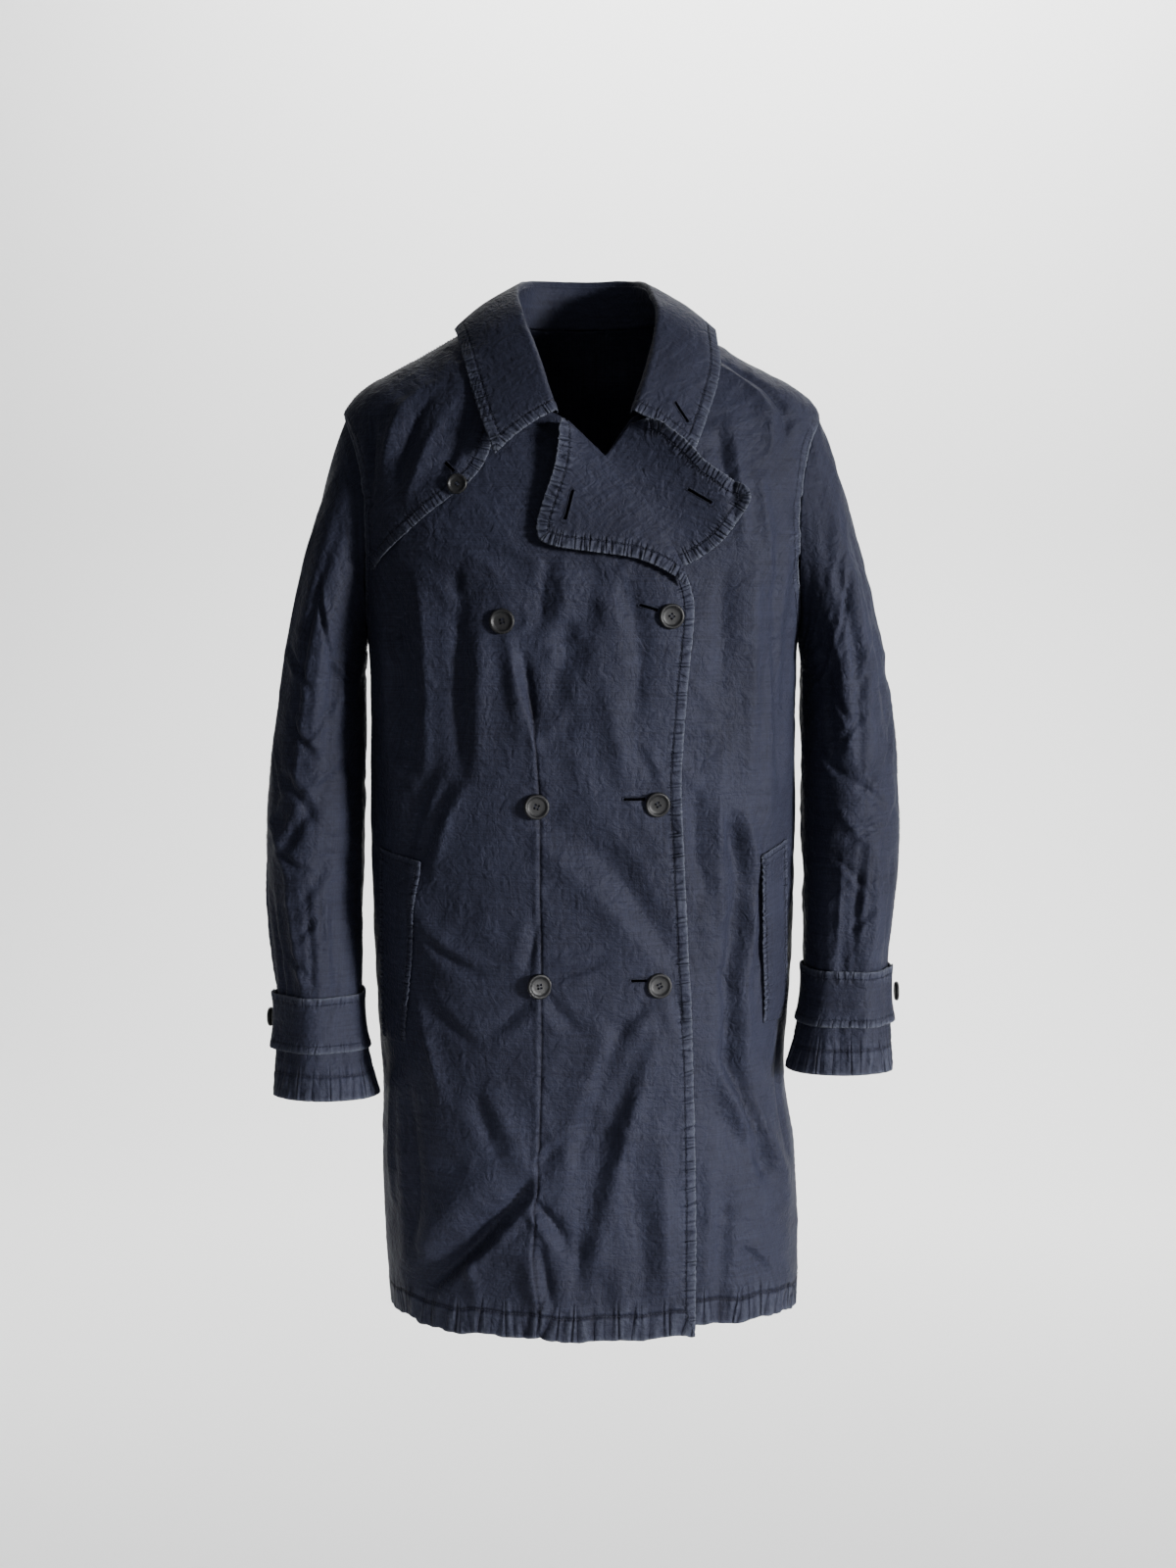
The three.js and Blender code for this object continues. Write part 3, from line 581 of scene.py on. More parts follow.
class Sheet:
    """One piece of cloth: its points, its rubbed wear and painted shade, and the lines that it is
    stitched along.
    """

    def __init__(self, points, anchor=0):
        """The anchor is the column that the cloth's grain is measured from."""
        self.points = points
        self.across, self.up = running(points, 1), running(points, 0)
        self.weft = self.across - self.across[:, [anchor]]
        self.warp = np.broadcast_to(self.up[:, [anchor]], self.up.shape)
        # Rubbed wear, and painted shade along a sunk seam line.
        self.wear = np.zeros(points.shape[:2])
        self.thick = np.zeros(points.shape[:2])
        self.relief = np.zeros(points.shape[:2])
        self.tuck = np.zeros(points.shape[:2])
        self.edge = np.full((*points.shape[:2], 2), FAR_FROM_STITCHES)

    def normals(self):
        """The directions that face out of the cloth."""
        up = np.gradient(self.points, axis=0)
        round_way = np.gradient(self.points, axis=1)
        return unit(np.cross(up, round_way))

    def from_edge(self, side):
        """Each point's distance from an edge, and how far along that edge it lies."""
        points = self.points if side in ("left", "right") else self.points.swapaxes(0, 1)
        points = points if side in ("left", "bottom") else points[:, ::-1]
        found = nearest_on_edge(points)
        found = found if side in ("left", "bottom") else [grid[:, ::-1] for grid in found]
        return found if side in ("left", "right") else [grid.T for grid in found]

    def pucker(self, run, share, tuck):
        """Notes where small tucks lie: run counts them, share is 1 on the stitches."""
        nearest = share < self.edge[..., 1]
        noted = np.stack(np.broadcast_arrays(run, share), -1)
        self.edge[nearest] = noted[nearest]
        self.tuck = np.where(nearest, tuck, self.tuck)

    def round_the_corner(self, side, run):
        """The run along an edge, counted so that it goes on evenly past a corner."""
        if side == "right":
            return self.across[0, -1] - run
        return self.up[-1, 0] - run if side == "top" else run

    def apply_relief(self):
        """Moves the cloth out by all that was added to its relief."""
        self.points = self.points + self.normals() * self.relief[..., None]
        return self


# %% [markdown]
# ## Crumple and tucks
# Washed cotton is never smooth: between its folds it keeps a net of small soft creases. Noise gives
# such a net if its zero lines are taken as the creases, since then they join up as real ones do.
# Along stitching the thread draws the cloth in, so short tucks cross the edge, a bit slanted, each
# a different height. Both are seeded, so the coat comes out the same each time.

# %% Seeded noise over the cloth
def noise(x, y, size, random):
    """Smooth noise from about -1 to 1, with bumps of about this size."""
    x, y = (x - x.min()) / size, (y - y.min()) / size
    table = random.uniform(-1, 1, (int(x.max()) + 3, int(y.max()) + 3))
    i, j = x.astype(int), y.astype(int)
    u, v = smooth(x - i, 0, 1), smooth(y - j, 0, 1)
    low = mix(table[i, j], table[i + 1, j], u)
    high = mix(table[i, j + 1], table[i + 1, j + 1], u)
    return mix(low, high, v)


def turned(x, y, degrees, stretch=1.0):
    """The same plane turned, and stretched along its second direction."""
    c, s = math.cos(math.radians(degrees)), math.sin(math.radians(degrees))
    return x * c - y * s, (x * s + y * c) / stretch


def creased(values, soft):
    """Turns the zero lines of noise into creases."""
    return soft - np.sqrt(values ** 2 + soft ** 2)


def crumple(sheet, strength, random):
    """The net of small creases all over a washed piece, stronger in some patches."""
    x, y = sheet.weft, sheet.warp
    patches = mix(0.35, 1.0, smooth(noise(x, y, 95, random), -0.5, 0.7))
    broad = noise(*turned(x, y, 18, 1.8), 46, random)
    net = creased(noise(*turned(x, y, 32, 1.5), 30, random), 0.12)
    other = creased(noise(*turned(x, y, -41, 1.4), 21, random), 0.12)
    small = creased(noise(*turned(x, y, 12, 1.3), 10, random), 0.15)
    sheet.relief += strength * patches * (1.0 * broad + 2.2 * net + 2.1 * other + 0.9 * small)


# %% Tucks, the sunk stitch line and the turned band of a stitched edge
def along_noise(run, size, random):
    """Noise along one line, the same across it."""
    return noise(run, np.zeros_like(run), size, random)


FINE_TUCKS = 1.6             # the smallest tucks are this much closer than those of the mesh
WHOLE_EDGE = 1e9             # a run that no edge reaches


def stitched_edge(sheet, side, inset, tuck, period, random, reach=9.0, start=-1.0, stop=WHOLE_EDGE):
    """Adds what a row of stitches at this inset does to the cloth between start and stop."""
    distance, run = sheet.from_edge(side)
    inside = smooth(run, start - 2, start + 4) * (1 - smooth(run, stop - 4, stop + 2))
    phase = run / period + 0.8 * along_noise(run, 2.2 * period, random) + 0.3 * distance / period
    height = mix(0.25, 1.0, smooth(along_noise(run, 1.6 * period, random), -0.7, 0.7))
    wave = 2 * np.abs(np.sin(math.pi * phase)) ** 0.7 - 1.2
    fading = np.where(distance < inset, 1.0, np.exp(-np.maximum(distance - inset, 0) / reach))
    band = 1 - smooth(distance, inset - 0.6, inset + 0.9)
    line = np.exp(-((distance - inset) / 1.2) ** 2)
    sheet.relief += inside * (tuck * height * wave * fading + 0.35 * band - 0.55 * line)
    sheet.thick += 0.5 * inside * band
    crest = np.clip(wave, 0, 1) * height * np.exp(-np.maximum(distance - inset, 0) / 4)
    sheet.wear += inside * (0.9 * np.exp(-distance / 1.3) + 0.3 * crest)
    share = np.where(inside > 0.5, distance / inset, FAR_FROM_STITCHES)
    sheet.pucker(sheet.round_the_corner(side, run) / period * FINE_TUCKS, share, tuck)


def plain_seam(sheet, side, tuck, period, random, start=-1.0, stop=WHOLE_EDGE):
    """Adds the slight dip and pull of two pieces sewn together edge to edge."""
    distance, run = sheet.from_edge(side)
    inside = smooth(run, start - 2, start + 4) * (1 - smooth(run, stop - 4, stop + 2))
    wave = np.sin(2 * math.pi * (run / period + 0.8 * along_noise(run, 2.2 * period, random)))
    met = np.exp(-distance / 1.6)
    sheet.relief *= 1 - inside * np.exp(-distance / 9)
    sheet.relief += inside * (tuck * wave * (np.exp(-distance / 7) - met) - 0.8 * met)
    sheet.wear += inside * 0.3 * np.exp(-distance / 2)


print("noise and tucks are ready")

# %% [markdown]
# ## Finishes
# The cloth is a plain weave dyed navy and washed: the dye goes a little patchy, and wherever an edge
# or a tuck stands proud it rubs lighter. The tucks' crests also get painted highlight, and their
# valleys and the sunk stitch lines painted shade. Painted pictures could show all this, but they blur
# close up, so each effect is a node group: weave, crinkle, puckered edge with painted highlight and
# shade, and rubbed dye. Cloth and thread place the ones they need with their own values. The shader
# stays in each material, with its own sheen.

# %% Node helpers
def add(tree, kind, inputs=None, **settings):
    """A node with its settings, and its inputs set to values or linked to other nodes' outputs."""
    made = tree.nodes.new(kind)
    for name, value in settings.items():
        setattr(made, name, value)
    for name, value in (inputs or {}).items():
        if isinstance(value, bpy.types.NodeSocket):
            tree.links.new(value, made.inputs[name])
        else:
            made.inputs[name].default_value = value
    return made


def sum_of(tree, a, b, operation="ADD"):
    """One sum, or another operation, of two sockets or numbers."""
    return add(tree, "ShaderNodeMath", {0: a, 1: b}, operation=operation).outputs[0]


def blended(tree, share, first, second):
    """A colour between two; a Mix node's colour sockets are its numbers 6 and 7, and 2 out."""
    return add(tree, "ShaderNodeMix", {0: share, 6: first, 7: second}, data_type="RGBA").outputs[2]


def new_group(name, inputs, outputs):
    """An empty shader group with named sockets; inputs give a default each."""
    group = bpy.data.node_groups.new(name, "ShaderNodeTree")
    kinds = {float: "NodeSocketFloat", tuple: "NodeSocketColor", str: "NodeSocketVector"}
    for label, default in inputs.items():
        socket = group.interface.new_socket(
            name=label, in_out="INPUT", socket_type=kinds[type(default)])
        if not isinstance(default, str):
            socket.default_value = default
    for label, kind in outputs.items():
        group.interface.new_socket(name=label, in_out="OUTPUT", socket_type=kinds[kind])
    given = group.nodes.new("NodeGroupInput").outputs
    return group, given, group.nodes.new("NodeGroupOutput").inputs


def place(tree, group, **inputs):
    """The group placed in a material, with its own values."""
    made = tree.nodes.new("ShaderNodeGroup")
    made.node_tree = group
    for name, value in inputs.items():
        socket = made.inputs[name.replace("_", " ")]
        if isinstance(value, bpy.types.NodeSocket):
            tree.links.new(value, socket)
        else:
            socket.default_value = value
    return made.outputs


# %% The weave group: threads over and under, with thicker ones here and there
def weave_group():
    group, given, out = new_group("plain weave", {"Vector": "", "Threads": 1600.0},
                                  {"Height": float, "Slub": float})
    parts = add(group, "ShaderNodeSeparateXYZ", {0: given["Vector"]}).outputs
    turns = sum_of(group, given["Threads"], math.pi, "MULTIPLY")
    waves = []
    for axis in (0, 1):
        angle = sum_of(group, parts[axis], turns, "MULTIPLY")
        waves.append(add(group, "ShaderNodeMath", {0: angle}, operation="SINE").outputs[0])
    crossing = sum_of(group, *waves, "MULTIPLY")
    slubs = []
    for stretch in ((14.0, 900.0, 1.0), (900.0, 14.0, 1.0)):
        scaled = add(group, "ShaderNodeMapping", {"Vector": given["Vector"], "Scale": stretch})
        slubs.append(add(group, "ShaderNodeTexNoise", {
            "Vector": scaled.outputs[0], "Scale": 1.0, "Detail": 2.0}).outputs["Fac"])
    slub = sum_of(group, *slubs)
    height = sum_of(group, sum_of(group, crossing, 0.35, "MULTIPLY"), slub)
    group.links.new(height, out["Height"])
    group.links.new(slub, out["Slub"])
    return group


WEAVE = weave_group()
print("group:", WEAVE.name)

# %% The crinkle group: the smallest creases, too fine for the mesh
def crinkle_group():
    group, given, out = new_group("fine crinkle", {"Vector": "", "Density": 90.0}, {"Height": float})
    heights = []
    for share, stretch in ((1.0, (1.0, 0.6, 1.0)), (2.3, (0.7, 1.0, 1.0))):
        scaled = add(group, "ShaderNodeMapping", {"Vector": given["Vector"], "Scale": stretch})
        density = sum_of(group, given["Density"], share, "MULTIPLY")
        wave = add(group, "ShaderNodeTexNoise", {
            "Vector": scaled.outputs[0], "Scale": density, "Detail": 3.0, "Distortion": 0.4})
        centred = sum_of(group, wave.outputs["Fac"], 0.5, "SUBTRACT")
        folded_up = add(group, "ShaderNodeMath", {0: centred}, operation="ABSOLUTE").outputs[0]
        heights.append(sum_of(group, folded_up, 1 / share, "MULTIPLY"))
    group.links.new(sum_of(group, *heights), out["Height"])
    return group


CRINKLE = crinkle_group()
print("group:", CRINKLE.name)

# %% The pucker group: short tucks across a stitched edge, sharper than the mesh can be, with painted highlight and shade
TUCK_SLANT = 1.5             # how far tucks lean over on their way to the edge


def pucker_group():
    group, given, out = new_group("puckered edge", {"Vector": "", "Depth": 0.0},
                                  {"Height": float, "Rub": float})
    run, share = add(group, "ShaderNodeSeparateXYZ", {0: given["Vector"]}).outputs[:2]

    def ranged(value, start, stop, low, high):
        return add(group, "ShaderNodeMapRange", {
            "Value": value, "From Min": start, "From Max": stop, "To Min": low, "To Max": high},
            interpolation_type="SMOOTHSTEP").outputs[0]

    def along(scale):
        return add(group, "ShaderNodeTexNoise", {"W": run, "Scale": scale, "Detail": 1.0},
                   noise_dimensions="1D").outputs["Fac"]

    wander = sum_of(group, along(0.45), 2.4, "MULTIPLY")
    hand = sum_of(group, sum_of(group, along(0.3), 0.4, "SUBTRACT"), TUCK_SLANT, "MULTIPLY")
    lean = sum_of(group, share, hand, "MULTIPLY")
    phase = sum_of(group, sum_of(group, sum_of(group, run, wander), lean), math.pi, "MULTIPLY")
    sine = sum_of(group, phase, 0.0, "SINE")
    wave = sum_of(group, sum_of(group, sine, 0.0, "ABSOLUTE"), 0.7, "POWER")
    wave = sum_of(group, sum_of(group, wave, 2.0, "MULTIPLY"), 1.2, "SUBTRACT")
    uneven, near_stitches = ranged(along(0.6), 0.36, 0.62, 0.2, 1.0), ranged(share, 0.9, 1.8, 0.75, 0.0)
    height = sum_of(group, uneven, near_stitches, "MULTIPLY")
    tucks = sum_of(group, sum_of(group, wave, height, "MULTIPLY"), given["Depth"], "MULTIPLY")
    off_line = sum_of(group, sum_of(group, share, 1.0, "SUBTRACT"), 0.0, "ABSOLUTE")
    groove = sum_of(group, ranged(off_line, 0.0, 0.15, 0.5, 0.0), given["Depth"], "MULTIPLY")
    group.links.new(sum_of(group, tucks, groove, "SUBTRACT"), out["Height"])
    # The colour output paints the tucks' crests paler, as rubbed wear and painted highlight, and their
    # valleys and the stitch line darker, as painted shade.
    rubbed_lit_and_shaded = sum_of(group, tucks, 0.4, "MULTIPLY")
    group.links.new(sum_of(group, rubbed_lit_and_shaded, groove, "SUBTRACT"), out["Rub"])
    return group


PUCKER = pucker_group()
print("group:", PUCKER.name)

# %% The washed dye group: patchy dye, paler where the cloth is rubbed and where highlight is painted, darker where shade is painted
def washed_group():
    group, given, out = new_group(
        "washed dye",
        {"Vector": "", "Rub": 0.0, "Slub": 1.0, "Dye": (0.02, 0.03, 0.06, 1.0),
         "Washed": (0.04, 0.05, 0.08, 1.0), "Bare": (0.12, 0.14, 0.19, 1.0)},
        {"Colour": tuple, "Rubbed": float})
    clouds = add(group, "ShaderNodeTexNoise", {
        "Vector": given["Vector"], "Scale": 11.0, "Detail": 4.0, "Roughness": 0.6}).outputs["Fac"]
    grain = add(group, "ShaderNodeTexNoise", {
        "Vector": given["Vector"], "Scale": 260.0, "Detail": 3.0, "Roughness": 0.7}).outputs["Fac"]
    thread = add(group, "ShaderNodeMapRange", {
        "Value": given["Slub"], "From Min": 0.75, "From Max": 1.25}).outputs[0]
    patchy = sum_of(group, clouds, 0.55, "MULTIPLY")
    for part, share in ((grain, 0.55), (thread, 0.35), (given["Rub"], 0.6)):
        patchy = sum_of(group, patchy, sum_of(group, part, share, "MULTIPLY"))
    even = add(group, "ShaderNodeMapRange", {
        "Value": patchy, "From Min": 0.45, "From Max": 1.0}).outputs[0]
    dyed = blended(group, even, given["Dye"], given["Washed"])
    broken = add(group, "ShaderNodeMapRange", {
        "Value": grain, "From Min": 0.35, "From Max": 0.65, "To Min": 0.35, "To Max": 1.0}).outputs[0]
    rubbed_lit_and_shaded = sum_of(group, given["Rub"], broken, "MULTIPLY")
    rubbed_lit_and_shaded = add(group, "ShaderNodeClamp", {"Value": rubbed_lit_and_shaded}).outputs[0]
    group.links.new(blended(group, rubbed_lit_and_shaded, dyed, given["Bare"]), out["Colour"])
    group.links.new(rubbed_lit_and_shaded, out["Rubbed"])
    return group


WASHED = washed_group()
print("group:", WASHED.name)

# %% The cloth and the thread
GRAIN_MAP = "grain"          # the cloth's own plane, in metres along weft and warp
EDGE_MAP = "edge"            # tucks counted along a stitched edge, and the share of its inset
DYE = (0.0064, 0.0068, 0.0126, 1)
WASHED_DYE = (0.0156, 0.0174, 0.0305, 1)
BARE = (0.046, 0.050, 0.064, 1)


def cloth_finish():
    material, tree, shader = new_material("washed navy cotton")
    plane = add(tree, "ShaderNodeUVMap", uv_map=GRAIN_MAP).outputs["UV"]
    wear = add(tree, "ShaderNodeAttribute", attribute_name="wear").outputs["Fac"]
    tuck = add(tree, "ShaderNodeAttribute", attribute_name="tuck").outputs["Fac"]
    edge = add(tree, "ShaderNodeUVMap", uv_map=EDGE_MAP).outputs["UV"]
    pucker = place(tree, PUCKER, Vector=edge, Depth=tuck)
    # Rubbed wear together with the painted highlight and shade of the tucks, seams and stitch lines.
    rub_and_shade = sum_of(tree, wear, pucker["Rub"])
    weave = place(tree, WEAVE, Vector=plane, Threads=1500.0)
    spot = add(tree, "ShaderNodeTexCoord").outputs["Object"]
    crinkle = place(tree, CRINKLE, Vector=spot, Density=85.0)
    colour = place(tree, WASHED, Vector=spot, Rub=rub_and_shade, Slub=weave["Slub"],
                   Dye=DYE, Washed=WASHED_DYE, Bare=BARE)
    tree.links.new(colour["Colour"], shader.inputs["Base Color"])
    rough = add(tree, "ShaderNodeMapRange", {
        "Value": colour["Rubbed"], "To Min": 0.66, "To Max": 0.85}).outputs[0]
    tree.links.new(rough, shader.inputs["Roughness"])
    large = add(tree, "ShaderNodeBump", {
        "Height": pucker["Height"], "Strength": 1.0, "Distance": 0.001})
    big = add(tree, "ShaderNodeBump", {
        "Height": crinkle["Height"], "Strength": 1.0, "Distance": 0.0032, "Normal": large.outputs[0]})
    fine = add(tree, "ShaderNodeBump", {
        "Height": weave["Height"], "Strength": 0.5, "Distance": 0.00016, "Normal": big.outputs[0]})
    tree.links.new(fine.outputs[0], shader.inputs["Normal"])
    shader.inputs["Specular IOR Level"].default_value = 0.09
    shader.inputs["Sheen Weight"].default_value = 0.01
    shader.inputs["Sheen Roughness"].default_value = 0.5
    shader.inputs["Sheen Tint"].default_value = (0.72, 0.8, 1.0, 1)
    return material


def thread_finish():
    material, tree, shader = new_material("navy thread")
    spot = add(tree, "ShaderNodeTexCoord").outputs["Object"]
    weave = place(tree, WEAVE, Vector=spot, Threads=2400.0)
    colour = place(tree, WASHED, Vector=spot, Rub=0.12, Slub=weave["Slub"],
                   Dye=DYE, Washed=WASHED_DYE, Bare=BARE)
    tree.links.new(colour["Colour"], shader.inputs["Base Color"])
    bump = add(tree, "ShaderNodeBump", {"Height": weave["Height"], "Strength": 0.5, "Distance": 0.0001})
    tree.links.new(bump.outputs[0], shader.inputs["Normal"])
    shader.inputs["Roughness"].default_value = 0.65
    shader.inputs["Specular IOR Level"].default_value = 0.12
    return material


CLOTH, THREAD = cloth_finish(), thread_finish()
print("finishes:", CLOTH.name, "and", THREAD.name)

# %% The horn of the buttons
def horn_finish():
    """Dark grey horn: cloudy, flecked, with paler streaks, and softly polished."""
    material, tree, shader = new_material("mottled horn")
    spot = add(tree, "ShaderNodeTexCoord").outputs["Object"]
    cloud = add(tree, "ShaderNodeTexNoise", {
        "Vector": spot, "Scale": 160.0, "Detail": 6.0, "Roughness": 0.65, "Distortion": 1.6})
    ramp = add(tree, "ShaderNodeValToRGB", {"Fac": cloud.outputs["Fac"]})
    steps = ramp.color_ramp.elements
    steps[0].position, steps[0].color = 0.34, (0.0015, 0.0015, 0.0018, 1)
    steps[1].position, steps[1].color = 0.72, (0.008, 0.008, 0.009, 1)
    steps.new(0.52).color = (0.004, 0.004, 0.0045, 1)
    flecks = add(tree, "ShaderNodeTexNoise", {"Vector": spot, "Scale": 900.0, "Detail": 2.0})
    dots = add(tree, "ShaderNodeMapRange", {
        "Value": flecks.outputs["Fac"], "From Min": 0.58, "From Max": 0.7, "To Max": 0.55})
    mixed = blended(tree, dots.outputs[0], ramp.outputs["Color"], (0.015, 0.015, 0.0145, 1))
    tree.links.new(mixed, shader.inputs["Base Color"])
    rough = add(tree, "ShaderNodeMapRange", {
        "Value": cloud.outputs["Fac"], "To Min": 0.42, "To Max": 0.6}).outputs[0]
    tree.links.new(rough, shader.inputs["Roughness"])
    bump = add(tree, "ShaderNodeBump", {
        "Height": cloud.outputs["Fac"], "Strength": 0.25, "Distance": 0.0003})
    tree.links.new(bump.outputs[0], shader.inputs["Normal"])
    shader.inputs["Specular IOR Level"].default_value = 0.25
    shader.inputs["Coat Weight"].default_value = 0.06
    shader.inputs["Coat Roughness"].default_value = 0.35
    return material


HORN = horn_finish()
print("finish:", HORN.name)

# %% [markdown]
# ## From sheet to cloth
# A sheet becomes cloth by giving it a back face just behind the front one and a rounded rim between
# them. A Solidify modifier would do it too, but here the turned edges should be thicker than the
# rest, and the rim rounded as a folded edge is. The grid's own lengths go along as a map, so the
# weave follows each piece's grain, whichever way it lies.

# %% The shell maker
LAYER = 0.9                  # one layer of the cloth with its bulk
RIM_BULGE = 0.5              # how far the rim is rounded out, as a share of the thickness
RIM_WEAR = 0.35              # how much more the rim is rubbed than the cloth beside it
SMALLEST_SHARE = 0.31        # a cut fills at least this much of its width times its length
CUTS = {}                    # width and length in mm and area in cm2 that each piece was cut to


def rim_of(rows, cols):
    """The border of a grid, once round."""
    bottom = [(0, i) for i in range(cols - 1)]
    right = [(j, cols - 1) for j in range(rows - 1)]
    top = [(rows - 1, i) for i in range(cols - 1, 0, -1)]
    left = [(j, 0) for j in range(rows - 1, 0, -1)]
    return np.array(bottom + right + top + left)


def outward(points, rim):
    """At each point of the border, the direction that leaves the sheet in its own plane."""
    rows, cols = points.shape[:2]
    up, round_way = unit(np.gradient(points, axis=0)), unit(np.gradient(points, axis=1))
    j, i = rim.T
    rise = ((j == rows - 1).astype(float) - (j == 0))[:, None]
    side = ((i == cols - 1).astype(float) - (i == 0))[:, None]
    return unit(up[j, i] * rise + round_way[j, i] * side)


def grid_faces(rows, cols):
    a = (np.arange(rows - 1)[:, None] * cols + np.arange(cols - 1)).ravel()
    return np.stack([a, a + cols, a + cols + 1, a + 1], 1)


def add_piece(name, points, faces, material, slot, nodes=(), maps=None, values=None):
    """A mesh object from points in millimetres, riding on the frame's body."""
    mesh = bpy.data.meshes.new(name)
    faces = faces if isinstance(faces, list) else faces.tolist()
    mesh.from_pydata((points * MM).tolist(), [], faces)
    mesh.shade_smooth()
    corners = np.empty(len(mesh.loops), int)
    mesh.loops.foreach_get("vertex_index", corners)
    for label, plane in (maps or {}).items():
        mesh.uv_layers.new(name=label).uv.foreach_set("vector", plane[corners].ravel())
    for label, numbers in (values or {}).items():
        mesh.attributes.new(label, "FLOAT", "POINT").data.foreach_set("value", numbers)
    mesh.materials.append(material)
    piece = bpy.data.objects.new(name, mesh)
    bpy.context.collection.objects.link(piece)
    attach(piece, "root")
    if nodes:
        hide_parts(*nodes)
    return piece


def sew_in(name, sheet, nodes, layer=LAYER):
    """Makes a cloth piece of a sheet and notes the size that it was cut to."""
    rows, cols = sheet.points.shape[:2]
    rim = rim_of(rows, cols)
    normals = sheet.normals()
    inner = sheet.points - normals * (layer + sheet.thick)[..., None]
    j, i = rim.T
    depth = (layer + sheet.thick)[j, i][:, None]
    middle = (sheet.points[j, i] + inner[j, i]) / 2 + outward(sheet.points, rim) * depth * RIM_BULGE
    points = np.concatenate([sheet.points.reshape(-1, 3), inner.reshape(-1, 3), middle])
    half, faces = rows * cols, grid_faces(rows, cols)
    a, b = j * cols + i, np.roll(j * cols + i, -1)
    c = 2 * half + np.arange(len(rim))
    d = np.roll(c, -1)
    rim_faces = [np.stack([a, b, d, c], 1), np.stack([c, d, half + b, half + a], 1)]
    faces = np.concatenate([faces, faces[:, ::-1] + half, *rim_faces])
    maps = {GRAIN_MAP: np.stack([sheet.weft, sheet.warp], -1) * MM, EDGE_MAP: sheet.edge}
    maps = {label: np.concatenate([plane.reshape(-1, 2)] * 2 + [plane[j, i]])
            for label, plane in maps.items()}
    values = {label: np.concatenate([grid.ravel(), grid.ravel(), grid[j, i] + on_rim])
              for label, grid, on_rim in (("wear", sheet.wear, RIM_WEAR), ("tuck", sheet.tuck, 0))}
    piece = add_piece(name, points, faces, CLOTH, "cloth", nodes, maps, values)
    width, length = sheet.across[:, -1].max() * MM, sheet.up[-1].max() * MM
    cells = np.diff(sheet.across, axis=1)[:-1] * np.diff(sheet.up, axis=0)[:, :-1]
    whole = width * length
    area = float(np.clip(cells.sum() * MM * MM, SMALLEST_SHARE * whole, whole))
    CUTS[name] = (round(width * 1000), round(length * 1000), round(area * 1e4))
    print(name, CUTS[name], len(faces) * 2, "triangles")
    return piece


# %% [markdown]
# ## Sewing
# A stitch is a few millimetres of thread that dips into the cloth at both ends. Thousands of them
# make the coat's seams readable, so they are built in one go as arrays: each is a short tube with a
# raised middle, and all stitches of one area are joined in one mesh.

# %% Short tubes of thread from arrays
def tubes(centres, radii, ups, sides=4):
    """Closed tubes through rows of centres, all in one list of points and faces."""
    count, rings = centres.shape[:2]
    ways = unit(np.gradient(centres, axis=1))
    sideways = unit(np.cross(ways, ups[:, None]))
    upward = np.cross(sideways, ways)
    turn = np.arange(sides) / sides * 2 * math.pi + math.pi / 4
    ring = (sideways[:, :, None] * np.cos(turn)[:, None] + upward[:, :, None] * np.sin(turn)[:, None])
    points = centres[:, :, None] + ring * radii[None, :, None, None]
    index = np.arange(count * rings * sides).reshape(count, rings, sides)
    after = np.roll(index, -1, axis=2)
    walls = np.stack([index[:, :-1], after[:, :-1], after[:, 1:], index[:, 1:]], -1).reshape(-1, 4)
    ends = np.concatenate([index[:, 0, ::-1], index[:, -1]])
    return points.reshape(-1, 3), walls.tolist() + ends.tolist()


def joined(parts):
    """Several lists of points and faces as one."""
    points, faces, start = [], [], 0
    for some_points, some_faces in parts:
        points.append(some_points)
        faces += [[k + start for k in face] for face in some_faces]
        start += len(some_points)
    return np.concatenate(points), faces


STITCH = {"pitch": 2.9, "gap": 0.7, "radius": 0.34}
STITCH_SHARES = np.array([0.0, 0.25, 0.75, 1.0])         # along the stitch
STITCH_HEIGHTS = np.array([-0.3, 0.34, 0.34, -0.3]) + 0.12
STITCH_RADII = np.array([0.55, 1, 1, 0.55]) * STITCH["radius"]


def stitch_row(points, normals):
    """Stitches between the points of a line on the cloth."""
    start, step = points[:-1], points[1:] - points[:-1]
    length = np.linalg.norm(step, axis=1, keepdims=True)
    start, step = start + step / length * STITCH["gap"] / 2, step * (1 - STITCH["gap"] / length)
    up = unit(normals[:-1] + normals[1:])
    rise = up[:, None] * STITCH_HEIGHTS[:, None]
    centres = start[:, None] + step[:, None] * STITCH_SHARES[:, None] + rise
    return tubes(centres, STITCH_RADII, up, sides=3)


def between_grid(grid, row, column):
    """A grid's values at fractional rows and columns."""
    j = np.clip(row.astype(int), 0, grid.shape[0] - 2)
    i = np.clip(column.astype(int), 0, grid.shape[1] - 2)
    v, u = (row - j)[:, None], (column - i)[:, None]
    return mix(mix(grid[j, i], grid[j, i + 1], u), mix(grid[j + 1, i], grid[j + 1, i + 1], u), v)


